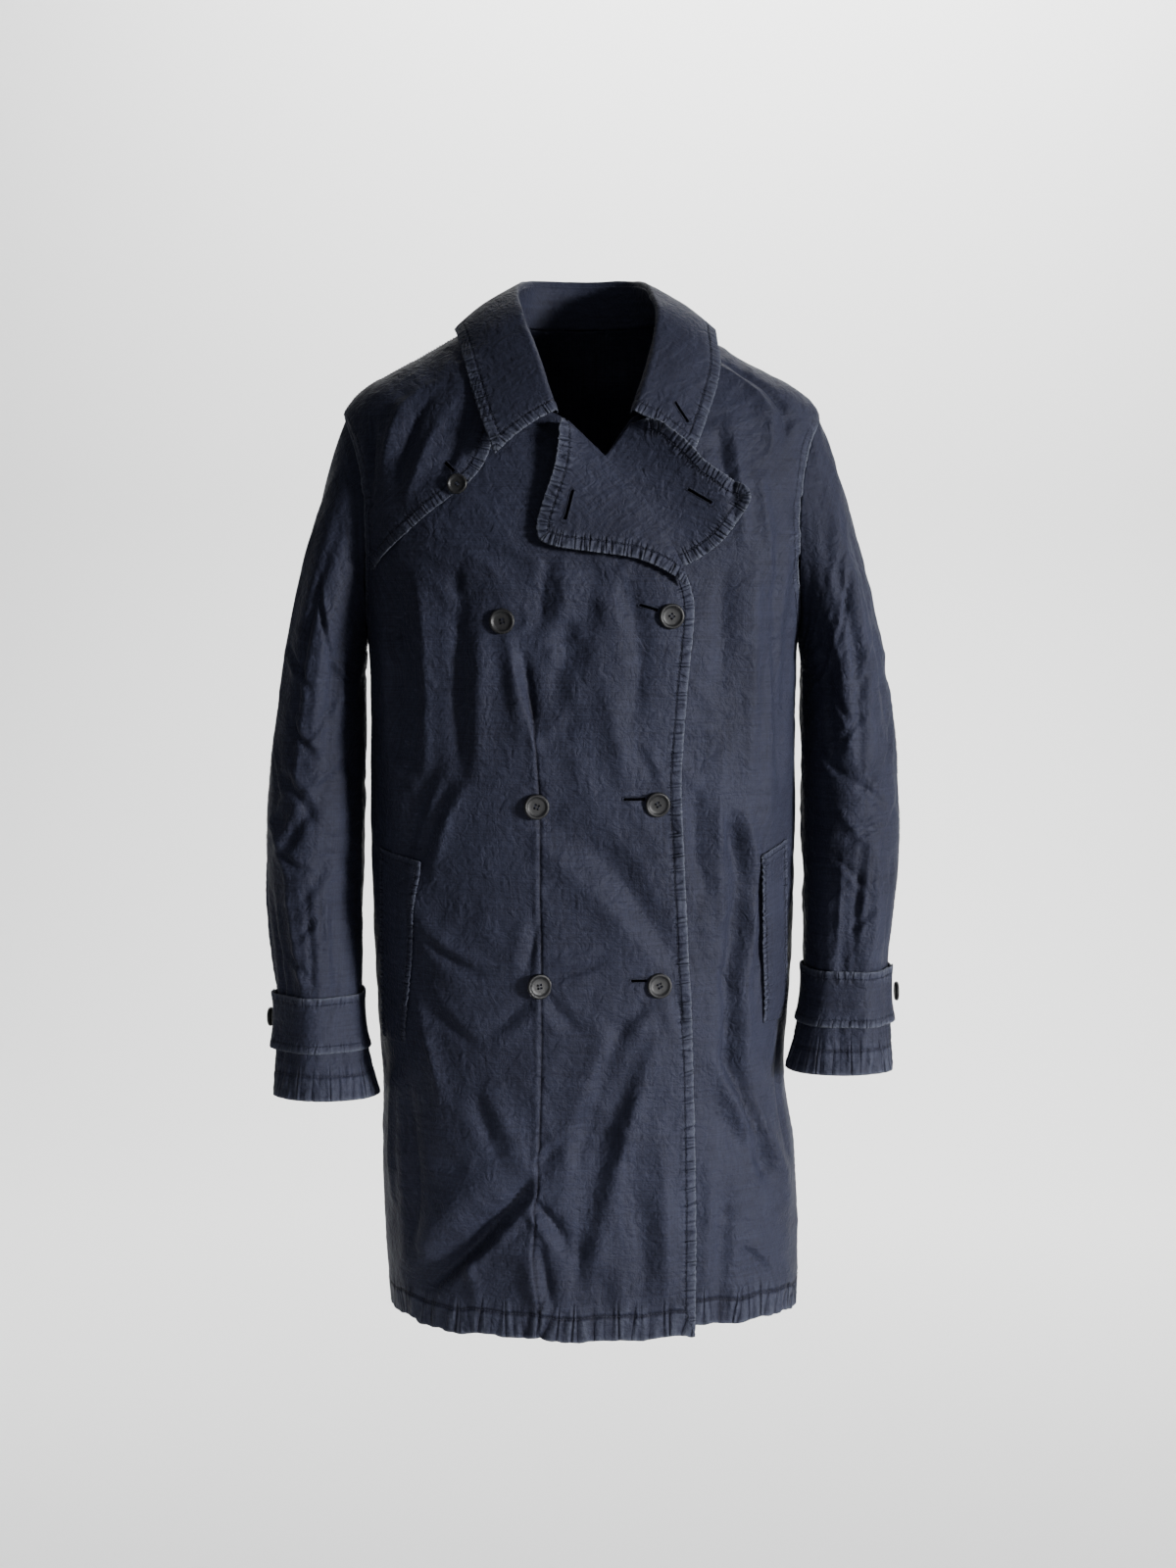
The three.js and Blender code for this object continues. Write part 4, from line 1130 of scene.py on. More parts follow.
def seam_line(sheet, side, inset, start=0.0, stop=WHOLE_EDGE):
    """Points and normals every stitch apart on a line at this inset from an edge."""
    points, normals = sheet.points, sheet.normals()
    distance, run = sheet.from_edge(side)
    if side in ("bottom", "top"):
        points, normals = points.swapaxes(0, 1), normals.swapaxes(0, 1)
        distance, run = distance.T, run.T
    if side in ("right", "top"):
        points, normals, distance, run = (
            grid[:, ::-1] for grid in (points, normals, distance, run))
    rows, across = np.arange(len(distance)), np.arange(distance.shape[1])
    rising = np.maximum.accumulate(distance, axis=1) + 1e-6 * across
    where = np.array([np.interp(inset, row, across) for row in rising])
    lengths = running(between_grid(points, rows, where), 0)
    wanted = lengths[(run[:, 0] >= start) & (run[:, 0] <= stop)]
    places = np.arange(wanted[0] + STITCH["pitch"], wanted[-1] - STITCH["pitch"], STITCH["pitch"])
    row = np.interp(places, lengths, rows)
    column = np.interp(row, rows, where)
    return between_grid(points, row, column), between_grid(normals, row, column)


SEWING = {}                  # the stitch rows of each area, to be joined at the end


def stitch(area, sheet, side, inset, start=0.0, stop=WHOLE_EDGE):
    SEWING.setdefault(area, []).append(stitch_row(*seam_line(sheet, side, inset, start, stop)))


def run_at(sheet, side, z):
    """How far up a side edge the cloth reaches this level."""
    column = 0 if side == "left" else -1
    return float(np.interp(z, sheet.points[:, column, 2], sheet.up[:, column]))


# %% [markdown]
# ## The two fronts
# The wearer's right front closes over the left one, far across, because the coat is double-breasted.
# Its free edge runs down to the hem, and above the first buttons it turns into the roll line of the
# lapel. The lower front lies just inside it. Both are cut from the body's form between two angles at
# each level, and a pressed seam runs down the upper one under the buttons.

# %% Lines on the front
TOP_EDGE = columns(
    "z x", (-916, 101), (-790, 101), (-650, 98), (-545, 93), (-428, 87), (-336, 92), (-262, 98),
    (-231, 91), (-205, 78), (-170, 57), (-127, 18), (-92, -19), (-84, -34), (-62, -52), (-30, -65),
    (0, -72))
UNDER_EDGE = columns(
    "z x", (-916, -80), (-262, -78), (-231, -72), (-205, -52), (-170, -22), (-127, 18), (-92, 44),
    (-84, 58), (-62, 72), (-30, 76), (0, 76))
FRONT_SEAM = columns(
    "z x", (-916, -39), (-875, -40), (-835, -44), (-800, -42.5), (-773, -40.5), (-722, -38.5),
    (-661, -37), (-574, -37), (-515, -38), (-448, -38), (-414, -39.5), (-356, -44), (-322, -51))
FRONT_SEAM_TOP = -322
LAYER_DROP = 4.2             # how far the lower front lies inside the upper one
EDGE_INSET = 8.6             # from the front edge to its stitches
HEM_INSET = 22


def covered(x, z):
    """How much of the lower front the upper one covers at a point, from 0 to 1."""
    edge = at(TOP_EDGE, np.clip(z, HEM_Z, GORGE_Z))["x"]
    return 1 - smooth(x, edge + 6, edge + 90)


def under_lift(x, z):
    """The lower front lies deeper still where its own lapel lies between the two."""
    layers = 1 + smooth(z, BREAK_Z - 60, BREAK_Z - 5) + 1.2 * (1 - smooth(z, -720, -620))
    return -LAYER_DROP * layers * covered(x, z)


CORNER = 26                  # the armhole's stitching ends this far from the seams it meets
ARMHOLE_INSETS = (2.5, 9.5)  # the armhole's two rows of stitches
BODY_CRUMPLE = 1.15          # how deep the small creases of the large pieces are
ROWS = spacing(1010, 2.5, 1.8, (0,), reach=22)
LEVELS = even_levels(HEM_Z, NECK_Z, ROWS)
HEM_WAVES = ((9, 1.4), (23, 0.9), (57, 0.3))     # waves in a radian round the body, and height


def with_hem_waves(angle, z):
    """The levels of a body piece, whose washed hem hangs a little uneven."""
    wave = sum(height * np.sin(count * angle + count) for count, height in HEM_WAVES)
    return z + wave * (1 - smooth(z, HEM_Z, HEM_Z + 90))


print("rows of a front:", len(LEVELS))


# %% The hem and the armholes, the same on the fronts and the back
def armhole_runs(sheet, side):
    """Where the armhole's stitching starts and stops on a side edge."""
    return run_at(sheet, side, UNDERARM_Z) + CORNER, run_at(sheet, side, SHOULDER_TIP_Z) - CORNER


def hem(sheet, random):
    stitched_edge(sheet, "bottom", HEM_INSET, 1.5, 14, random, reach=14)


def side_and_armhole(sheet, side, random):
    """Adds the plain seam up the side and, above it, what the armhole's stitches do."""
    start, stop = armhole_runs(sheet, side)
    plain_seam(sheet, side, 0.4, 9, random, stop=start)
    for inset in ARMHOLE_INSETS:
        stitched_edge(sheet, side, inset, 0.35, 8, random, reach=5, start=start, stop=stop)
    return start, stop


def stitch_armhole(area, sheet, side, start=0.0, stop=WHOLE_EDGE):
    for inset in ARMHOLE_INSETS:
        stitch(area, sheet, side, inset, start, stop)


print("armhole stitches:", ARMHOLE_INSETS, "mm from the edge")


# %% The upper front, on the wearer's right
def seam_angles(free, side):
    """The pressed seam's angle at each level; above its top it goes on at the same share."""
    share = (angle_at(at(FRONT_SEAM, LEVELS)["x"], LEVELS) - free) / (side - free)
    below = LEVELS <= FRONT_SEAM_TOP
    return mix(free, side, np.interp(LEVELS, LEVELS[below], share[below]))


def front_right():
    random = np.random.default_rng(11)
    free = angle_at(at(TOP_EDGE, LEVELS)["x"], LEVELS)
    side = math.pi - side_angle(LEVELS, ARMHOLE_FRONT, "front")
    seam = seam_angles(free, side)
    angle = np.concatenate([
        even_angles(free, seam, LEVELS, spacing(145, 4.2, 1.5, (0, 145), reach=10)),
        even_angles(seam, side, LEVELS, spacing(245, 4.2, 1.5, (0, 245), reach=10))[:, 1:]], 1)
    z = with_hem_waves(angle, LEVELS[:, None])
    sheet = Sheet(body_point(angle, z))
    crumple(sheet, BODY_CRUMPLE, random)
    sheet.relief += pressed_seam(sheet, z, random)
    break_run = run_at(sheet, "left", BREAK_Z)
    stitched_edge(sheet, "left", EDGE_INSET, 1.0, 8.5, random, stop=break_run)
    hem(sheet, random)
    arm_run, tip_run = side_and_armhole(sheet, "right", random)
    plain_seam(sheet, "right", 0.3, 9, random, start=tip_run)
    sheet.apply_relief()
    stitch("front_stitching", sheet, "left", EDGE_INSET, stop=break_run)
    stitch("front_stitching", sheet, "bottom", HEM_INSET)
    stitch_armhole("front_stitching", sheet, "right", arm_run, tip_run)
    sew_in("coat_front_right", sheet, ["front_right"])
    return sheet


def pressed_seam(sheet, z, random):
    """The seam down the upper front: a sunk line with one side proud and small pulls across it."""
    x = sheet.points[..., 0] - at(FRONT_SEAM, z)["x"]
    run = np.broadcast_to(sheet.up[:, :1], x.shape)
    pull = np.sin(2 * math.pi * (run / 13 + along_noise(sheet.up[:, :1], 30, random)))
    section = -1.5 * np.exp(-(x / 1.1) ** 2) + 0.7 * np.exp(-((x + 3.5) / 3) ** 2)
    inside = 1 - smooth(z, FRONT_SEAM_TOP - 30, FRONT_SEAM_TOP)
    # Painted shade darkens the sunk line; the proud side beside it is rubbed a little paler.
    sheet.wear += inside * (0.12 * np.exp(-((x + 2.2) / 1.5) ** 2) - 0.5 * np.exp(-(x / 1.2) ** 2))
    sheet.pucker(run / 13, np.where(inside > 0.5, 1 + np.abs(x) / 8, FAR_FROM_STITCHES), 0.6)
    return inside * (section + 0.4 * pull * np.exp(-np.abs(x) / 7))


FRONT_RIGHT = front_right()


# %% The lower front, on the wearer's left
HEM_RISE = 8                 # the lower front's hem hangs this much higher


def front_left():
    random = np.random.default_rng(12)
    side = side_angle(LEVELS, ARMHOLE_FRONT, "front")
    free = angle_at(at(UNDER_EDGE, LEVELS)["x"], LEVELS)
    angle = even_angles(side, free, LEVELS, spacing(370, 4.4, 1.8, (0, 370), reach=12))
    share = (angle - side[:, None]) / (free - side)[:, None]
    rise = HEM_RISE * smooth(share, 0, 0.6) * (1 - smooth(LEVELS, HEM_Z, HEM_Z + 160))[:, None]
    z = with_hem_waves(angle, LEVELS[:, None] + rise)
    sunk = under_lift(form_point(angle, z)[..., 0], z)
    sheet = Sheet(body_point(angle, z, sunk), anchor=-1)
    crumple(sheet, BODY_CRUMPLE, random)
    break_run = run_at(sheet, "right", BREAK_Z)
    hem(sheet, random)
    stitched_edge(sheet, "right", EDGE_INSET, 0.4, 8.5, random, stop=break_run)
    arm_run, tip_run = side_and_armhole(sheet, "left", random)
    sheet.apply_relief()
    stitch("front_stitching", sheet, "bottom", HEM_INSET)
    stitch_armhole("front_stitching", sheet, "left", arm_run, tip_run)
    sew_in("coat_front_left", sheet, ["front_left"])


front_left()


# %% [markdown]
# ## The back
# The picture doesn't show the back, so it is finished plainly: one wide piece from side seam to side
# seam, with soft columns of cloth below the shoulder blades and at the seat, and the same hem.

# %% The back, one piece
def back():
    random = np.random.default_rng(13)
    levels = even_levels(HEM_Z, NECK_Z, spacing(1010, 4.0, 2.0, (0,), reach=18))
    side = side_angle(levels, ARMHOLE_BACK, "back")
    shares = spacing(560, 5.2, 1.8, (0, 560), reach=12)
    angle = even_angles(math.pi + side, 2 * math.pi - side, levels, shares)
    middle = len(shares) // 2
    sheet = Sheet(body_point(angle, with_hem_waves(angle, levels[:, None])), anchor=middle)
    crumple(sheet, BODY_CRUMPLE, random)
    hem(sheet, random)
    for edge in ("left", "right"):
        side_and_armhole(sheet, edge, random)
    sheet.apply_relief()
    stitch("back_stitching", sheet, "bottom", HEM_INSET)
    for edge in ("left", "right"):
        stitch_armhole("back_stitching", sheet, edge, *armhole_runs(sheet, edge))
    sew_in("coat_back", sheet, ["back"])


back()

# %% [markdown]
# ## The storm flap
# A flap on the wearer's right shoulder buttons over the front to keep rain out. It is a layer of its
# own on top of the front, sewn in at the shoulder, neck and armhole, and free along its slanted
# lower edge, where its puckered stitching stands a little off the chest.

# %% The flap on the right shoulder
FLAP_EDGE = columns(
    "z x", (-228, -190), (-206, -170), (-176, -134), (-150, -100), (-126, -84), (-84, -74),
    (-30, -74), (0, -75))
FLAP_LOW = -227
FLAP_INSET = 10


def storm_flap():
    random = np.random.default_rng(14)
    levels = even_levels(FLAP_LOW, -3, spacing(300, 2.4, 2.0, (0,)))
    free = angle_at(at(FLAP_EDGE, levels)["x"], levels)
    side = math.pi - side_angle(levels, ARMHOLE_FRONT, "front") - 0.004
    angle = even_angles(free, side, levels, spacing(130, 2.5, 1.3, (0, 130), reach=12))
    from_arm = (side[:, None] - angle) * GIRTH
    lift = mix(0.9, 3.2, smooth(from_arm, 0, 22))
    sheet = Sheet(body_point(angle, levels[:, None], lift))
    crumple(sheet, 0.9, random)
    stitched_edge(sheet, "left", FLAP_INSET, 1.0, 8, random, reach=8)
    for inset in ARMHOLE_INSETS:
        stitched_edge(sheet, "right", inset, 0.3, 8, random, reach=5, stop=260)
    sheet.apply_relief()
    stitch("front_stitching", sheet, "left", FLAP_INSET)
    stitch_armhole("front_stitching", sheet, "right")
    sew_in("coat_storm_flap", sheet, ["storm_flap"])
    return sheet


STORM_FLAP = storm_flap()

# %% [markdown]
# ## Lapels
# A lapel is the front itself, folded back along the roll line. It springs out of a soft round fold,
# bellies a little and lies down towards its stitched edge. It is built between two lines on the
# chest, the roll and the outer edge, and it starts with a half-round so that the fold has a body.

# %% Smooth lines through points
def through(points, shares):
    """Places on a smooth centripetal curve through points; shares count the points evenly."""
    points = np.asarray(points, float)
    ends = np.concatenate([[2 * points[0] - points[1]], points, [2 * points[-1] - points[-2]]])
    place = np.clip(np.asarray(shares) * (len(points) - 1), 0, len(points) - 1 - 1e-9)
    k = place.astype(int)
    a, b, c, d = ends[k], ends[k + 1], ends[k + 2], ends[k + 3]
    gap = [np.maximum(np.linalg.norm(q - p, axis=-1, keepdims=True), 1e-6) ** 0.5
           for p, q in ((a, b), (b, c), (c, d))]
    leave = ((b - a) / gap[0] - (c - a) / (gap[0] + gap[1]) + (c - b) / gap[1]) * gap[1]
    arrive = ((c - b) / gap[1] - (d - b) / (gap[1] + gap[2]) + (d - c) / gap[2]) * gap[1]
    return hermite(b, leave, c, arrive, (place - k)[..., None])


def evenly_through(points, shares):
    """Places on the same curve at even shares of its length."""
    dense = through(points, np.linspace(0, 1, 600))
    lengths = running(dense, 0)
    return np.stack([resampled(lengths, dense[:, k], shares) for k in range(dense.shape[1])], -1)


# %% A lapel between its roll line and its outer edge
ROLL_ROUND = {"radius": 1.7, "centre": 0.9, "steps": 7}
LAPEL_INSET = 10


def lapel(name, roll, outer, height, random, nodes):
    """height gives the lift at x and z, with u from 0 at the roll to 1 at the edge."""
    along = spacing(200, 1.4, 1.4, (0,))
    near, far = evenly_through(roll, along)[:, None], evenly_through(outer, along)[:, None]
    shares = spacing(95, 2.4, 1.3, (95,), reach=14)[1:]
    flat = mix(near, far, shares[:, None])
    turn = np.radians(np.linspace(-80, 80, ROLL_ROUND["steps"]))
    away = unit(near - far)
    bend = near + away * (ROLL_ROUND["radius"] * np.cos(turn))[:, None]
    start_lift = height(near[..., 0], near[..., 1], 0.0) - ROLL_ROUND["radius"] - ROLL_ROUND["centre"]
    bend_lift = start_lift + ROLL_ROUND["centre"] + ROLL_ROUND["radius"] * np.sin(turn)
    plane = np.concatenate([bend, flat], 1)
    lift = np.concatenate([np.broadcast_to(part, grid.shape[:2]) for part, grid in (
        (bend_lift, bend), (height(flat[..., 0], flat[..., 1], shares), flat))], 1)
    sheet = Sheet(on_front(plane[..., 0], plane[..., 1], lift))
    crumple(sheet, 0.35, random)
    stitched_edge(sheet, "right", LAPEL_INSET, 1.2, 7.6, random, reach=5)
    sheet.apply_relief()
    stitch("lapel_stitching", sheet, "right", LAPEL_INSET)
    sew_in(name, sheet, nodes)
    return sheet


# %% Both lapels
def right_lift(x, z, u):
    """The right lapel bellies a little, and its top stands off the chest."""
    return 3.0 + 3.4 * np.sin(math.pi * u) + (3.4 + 7 * smooth(z, -190, -130)) * u ** 2


def left_lift(x, z, u):
    """The left lapel lies flat under the right front and stands well off where it is free."""
    free = 1 - covered(x, z)
    return under_lift(x, z) + 3.0 + (2.0 * np.sin(math.pi * u) + 18 * u ** 1.6) * free


LAPEL_RIGHT = lapel(
    "coat_lapel_right",
    [(88, -229), (78, -207), (57, -171), (18, -128), (-14, -97)],
    [(90, -242), (72, -229), (48, -219), (10, -213), (-24, -208), (-37, -202), (-40, -191),
     (-34, -168), (-24, -140), (-20, -112), (-19, -100)],
    right_lift, np.random.default_rng(15), ["lapel_right"])
LAPEL_LEFT = lapel(
    "coat_lapel_left",
    [(44, -98), (24, -122), (-6, -152), (-40, -190)],
    [(52, -101), (66, -104), (80, -114), (92, -125), (104, -138), (122, -150), (135, -158), (138.5, -168),
     (133, -184), (120, -204), (108, -214), (88, -224), (40, -232), (0, -236)],
    left_lift, np.random.default_rng(16), ["lapel_left"])

# %% [markdown]
# ## The collar
# The collar has two parts: a stand that rises from the neck seam, and a fall that rolls over it and
# lies on the shoulders down to two pointed leaves in front. Its shape is three lines round the neck,
# the seam, the roll and the outer edge, so a half table of stations is mirrored to the other side.

# %% The collar's three lines
COLLAR = {
    "neck": [(0, 66, 0.6), (48, 51, 0.6), (75, 2, 1.6), (73, -17, 1.6), (68, -38, -3), (60, -73, -48),
             (38, -86, -83)],
    "roll": [(0, 76, 44), (45, 58, 43), (58, 5, 33), (60, -15, 23), (60, -41, 5), (48, -72, -39),
             (32, -94, -89)],
    "edge": [(0, 94, -24), (78, 80, -28), (115, 4, -7), (116, -28, -15), (112, -60, -48),
             (102, -80, -84), (86, -100, -127)],
}


def collar_line(key, shares):
    """One of the three lines, from the wearer's right front end round the back to the left one."""
    half = np.array(COLLAR[key], float)
    whole = np.concatenate([half[:0:-1] * (-1, 1, 1), half])
    whole[:, 0] += CENTRE_FRONT * smooth(-whole[:, 1], 0, 70)
    return through(whole, shares)


def clear_of_body(points, lift_right, lift_left):
    """Keeps the collar's points clear of the cloth that they lie on."""
    x, y, z = points[..., 0], points[..., 1], np.clip(points[..., 2], HEM_Z, NECK_Z)
    ring = at(BODY, z)
    share = np.clip(np.abs(x / ring["width"]), 0, 0.97)
    depth = np.where(y < 0, ring["front"], ring["back"])
    angle = angle_at(x, z)
    folds = drape(np.where(y < 0, angle, 2 * math.pi - angle), z)
    lift = np.where(x < 0, lift_right, lift_left) + folds
    surface = depth * (1 - share ** ring["square"]) ** (1 / ring["square"]) + lift
    low = (points[..., 2] < NECK_Z) & (np.abs(x / ring["width"]) < 0.97)
    y = np.where(low, np.where(y < 0, -1, 1) * np.maximum(np.abs(y), surface), y)
    return np.stack([x, y, points[..., 2]], -1)


collar_edge = running(collar_line("edge", np.linspace(0, 1, 300)), 0)
print("collar edge", round(float(collar_edge[-1])), "mm long")


# %% The stand and the fall
COLLAR_COLUMNS = spacing(520, 3.0, 1.3, (0, 520), reach=14)
COLLAR_INSET = 9.5
COLLAR_END = 88              # the fall's front ends are puckered this far up from their points
COLLAR_ENDS_PROUD = 12       # the free front ends of the fall stand off the chest


def collar_stand():
    random = np.random.default_rng(17)
    shares = COLLAR_COLUMNS * 0.98 + 0.01
    neck, roll = collar_line("neck", shares), collar_line("roll", shares)
    rise = np.linspace(0, 0.93, 18)[:, None, None]
    sheet = Sheet(mix(neck, roll, rise))
    crumple(sheet, 0.5, random)
    sheet.apply_relief()
    sew_in("coat_collar_stand", sheet, ["collar_stand"])


def collar_fall():
    random = np.random.default_rng(18)
    shares = COLLAR_COLUMNS
    neck, roll, edge = (collar_line(key, shares) for key in ("neck", "roll", "edge"))
    away = unit(((roll + edge) / 2) * (1, 1, 0))
    up = np.array([0, 0, 1.0])

    def belly(share, swell):
        return mix(roll, edge, share) + away * (2.6 + 0.7 * swell) + up * (1.5 + 0.7 * swell)

    section = [belly(1, 0), belly(0.75, 3.6), belly(0.5, 5), belly(0.25, 4.2),
               roll + away * 4.4 + up * 2.2, roll + away * 1.6 + up * 3.0,
               mix(neck, roll, 0.97) - away * 0.7, mix(neck, roll, 0.8) - away * 1.2]
    levels = spacing(105, 2.4, 1.4, (0,), reach=14)
    grid = np.stack([evenly_through([line[k] for line in section], levels)
                     for k in range(len(shares))], 1)
    outside = smooth(np.linalg.norm(grid[..., :2], axis=-1)
                     - np.linalg.norm(roll[..., :2], axis=-1), 0, 6)[..., None]
    ends = running(edge, 0)
    from_end = np.minimum(ends, ends[-1] - ends)[:, None]
    proud = outside * (1 - smooth(from_end, 5, 80)) * COLLAR_ENDS_PROUD
    sheet = Sheet(mix(grid, clear_of_body(grid, 6.4, 4.2), outside) - proud * (0, 1, 0))
    crumple(sheet, 0.35, random)
    for side in ("left", "right", "bottom"):
        stop = WHOLE_EDGE if side == "bottom" else COLLAR_END
        stitched_edge(sheet, side, COLLAR_INSET, 0.9, 7.6, random, reach=5, stop=stop)
    sheet.apply_relief()
    for side in ("left", "right"):
        stitch("collar_stitching", sheet, side, COLLAR_INSET, COLLAR_INSET, 80)
    length = sheet.across[0, -1]
    stitch("collar_stitching", sheet, "bottom", COLLAR_INSET, COLLAR_INSET, length - COLLAR_INSET)
    sew_in("coat_collar_fall", sheet, ["collar_fall"])
    return sheet


collar_stand()
COLLAR_FALL = collar_fall()

# %% [markdown]
# ## Sleeves
# Each sleeve has two pieces: a top one that shows from the front and a narrower one behind and
# inside. The cap leaves the armhole outward and turns down over the shoulder, and from there the
# sleeve is a stack of rings that bends a little forward at the elbow. The strap draws the end in,
# so soft tucks run up from it, and the wearer's left sleeve sits a little higher.

# %% The sleeve's rings, cap and seams
SLEEVE = columns(
    "z x y width depth",
    (-330, 244, 6, 40, 76),
    (-383, 247.5, 4, 43.5, 75),
    (-456, 250.5, -3, 46, 71),
    (-520, 250.5, -12, 45, 66),
    (-577, 247.5, -24, 42, 58),
    (-615, 245, -34, 39.5, 49),
    (-645, 243.5, -41, 39.5, 44),
    (-672, 242, -47, 43.5, 42),
    (-710, 238, -55, 50, 42),
)
CAP_Z, CAP_SHARE, CUFF_Z = -330, 0.38, -710
SLEEVE_LIFT = {-1: 0, 1: 24}
STRAP = {"top": -618, "bottom": -668, "overlap": 30}
STRAP_MIDDLE = (STRAP["top"] + STRAP["bottom"]) / 2
STRAP_WIDTH = STRAP["top"] - STRAP["bottom"]
GATHERS = {"count": 5, "depth": 3.2, "reach": 150}
HIND_SEAM = columns("z x", (0, -52), (0.18, -22), (0.38, 2), (0.6, 12), (1, 14))
FORE_SEAM_ANGLE = 168
SLEEVE_GIRTH = 62            # millimetres of cloth a radian round the sleeve


def armhole_point(sign, angle):
    """A point of the armhole's edge; 0 is the shoulder tip and 90 degrees the front."""
    z = ARMHOLE_MIDDLE + ARMHOLE_HALF * np.cos(angle)
    ring = at(BODY, z)
    forward = np.sin(angle) > 0
    reach = np.abs(np.sin(angle)) * np.where(forward, ARMHOLE_FRONT, ARMHOLE_BACK)
    depth = np.where(forward, ring["front"], ring["back"])
    x = ring["width"] * (1 - (reach / depth) ** ring["square"]) ** (1 / ring["square"])
    return np.stack([sign * x, np.where(forward, -reach, reach), z], -1)


def sleeve_ring(sign, angle, z):
    """A point of the sleeve below the cap, with the gathers that its strap draws in."""
    raised = SLEEVE_LIFT[sign] * smooth(-z, 330, 600)
    ring = at(SLEEVE, z)
    above = (z - STRAP["top"]) / GATHERS["reach"]
    fade = np.where(above > 0, smooth(1 - above, 0, 1),
                    smooth(z, CUFF_Z - 20, STRAP["bottom"]) * 0.6)
    gather = GATHERS["depth"] * fade * np.cos(GATHERS["count"] * angle + sign)
    return np.stack([
        sign * (ring["x"] + (ring["width"] + gather * 0.4) * np.cos(angle)),
        ring["y"] - (ring["depth"] + gather) * power(np.sin(angle), 0.95),
        z + raised], -1)


def past_cap(along):
    """How far a place is from the cap's end, at 0, to the cuff, at 1."""
    return np.clip((along - CAP_SHARE) / (1 - CAP_SHARE), 0, 1)


def sleeve_form(sign, angle, along):
    """A point of the sleeve's form; along is 0 at the armhole and 1 at the cuff."""
    angle, along = np.broadcast_arrays(angle, along)
    below = sleeve_ring(sign, angle, mix(CAP_Z, CUFF_Z, past_cap(along)))
    t = np.clip(along / CAP_SHARE, 0, 1)[..., None]
    start = armhole_point(sign, angle)
    top_z = np.full(angle.shape, float(CAP_Z))
    end = sleeve_ring(sign, angle, top_z)
    reach = np.linalg.norm(end - start, axis=-1, keepdims=True) * 0.8
    outward_share = 0.2 + 0.15 * np.cos(angle) + 0.5 * np.sin(angle) ** 2
    downward_share = np.sqrt(1 - outward_share ** 2)
    leave = np.stack([sign * outward_share, -0.15 * np.sin(angle), -downward_share], -1)
    arrive = unit(sleeve_ring(sign, angle, top_z - 10) - end)
    cap = hermite(start, leave * reach, end, arrive * reach, t)
    return np.where((along >= CAP_SHARE)[..., None], below, cap)


# %% [markdown]
# ## Folds of the sleeves
# From the front a hanging sleeve shows long soft columns from the shoulder down, short crossing
# folds in the bend of the elbow, and tight tucks above the strap. The rows are by angle round the
# sleeve, 0 outside and 90 in front, and by how far down from the shoulder the fold lies.

# %% The sleeves' fold tables
RIGHT_SLEEVE_FOLDS = columns(
    "x z to_x to_z width depth bow crisp beside",
    (72, 60, 62, 330, 9, -3.4, 2, 0.3, 1),
    (96, 90, 92, 300, 11, 2.8, 0, 0.1, 0),
    (118, 110, 108, 320, 10, -3.0, 3, 0.2, 1),
    (30, 90, 34, 320, 12, 2.4, 0, 0.1, 0),
    (8, 130, 14, 300, 11, -2.4, 0, 0.2, 0),
    (50, 330, 96, 372, 9, -3.4, 4, 0.5, 1),
    (104, 352, 58, 400, 9, -3.2, -4, 0.5, -1),
    (24, 362, 66, 426, 10, 2.8, 3, 0.2, 0),
    (116, 400, 76, 448, 8, -2.8, 3, 0.6, 1),
    (60, 420, 74, 530, 8, 3.0, 0, 0.2, 0),
    (86, 430, 88, 535, 7, -3.0, 2, 0.4, 1),
    (112, 440, 106, 540, 7, 2.8, 0, 0.2, 0),
    (30, 440, 38, 530, 8, -2.8, 0, 0.3, 1),
    (10, 420, 6, 536, 8, 2.4, 0, 0.2, 0),
    (210, 120, 220, 360, 12, -3.0, 3, 0.2, 1),
    (270, 100, 268, 330, 13, 2.8, 0, 0.1, 0),
    (300, 160, 310, 380, 11, -2.8, 0, 0.2, -1),
    (230, 350, 290, 400, 9, -3.0, 4, 0.4, 1),
    (310, 380, 250, 430, 9, 2.8, -4, 0.3, 0),
    (280, 430, 276, 540, 8, -2.6, 0, 0.3, 1),
    (66, 120, 104, 186, 6, -3.4, 3, 0.6, 1),
    (104, 176, 132, 240, 6, -3.0, -3, 0.6, 1),
    (40, 206, 84, 252, 6, -3.2, 3, 0.5, -1),
    (124, 252, 82, 296, 5, -3.2, 3, 0.6, 1),
    (56, 276, 100, 316, 5, -3.0, -2, 0.6, 1),
    (132, 318, 92, 348, 5, -3.0, 2, 0.6, -1),
    (44, 394, 96, 420, 5, -3.2, -3, 0.6, 1),
    (104, 450, 66, 482, 5, -3.0, 2, 0.6, 1),
    (56, 492, 88, 516, 5, -2.6, 0, 0.6, -1),
    (20, 300, 44, 350, 6, -3.0, 2, 0.5, 1),
)
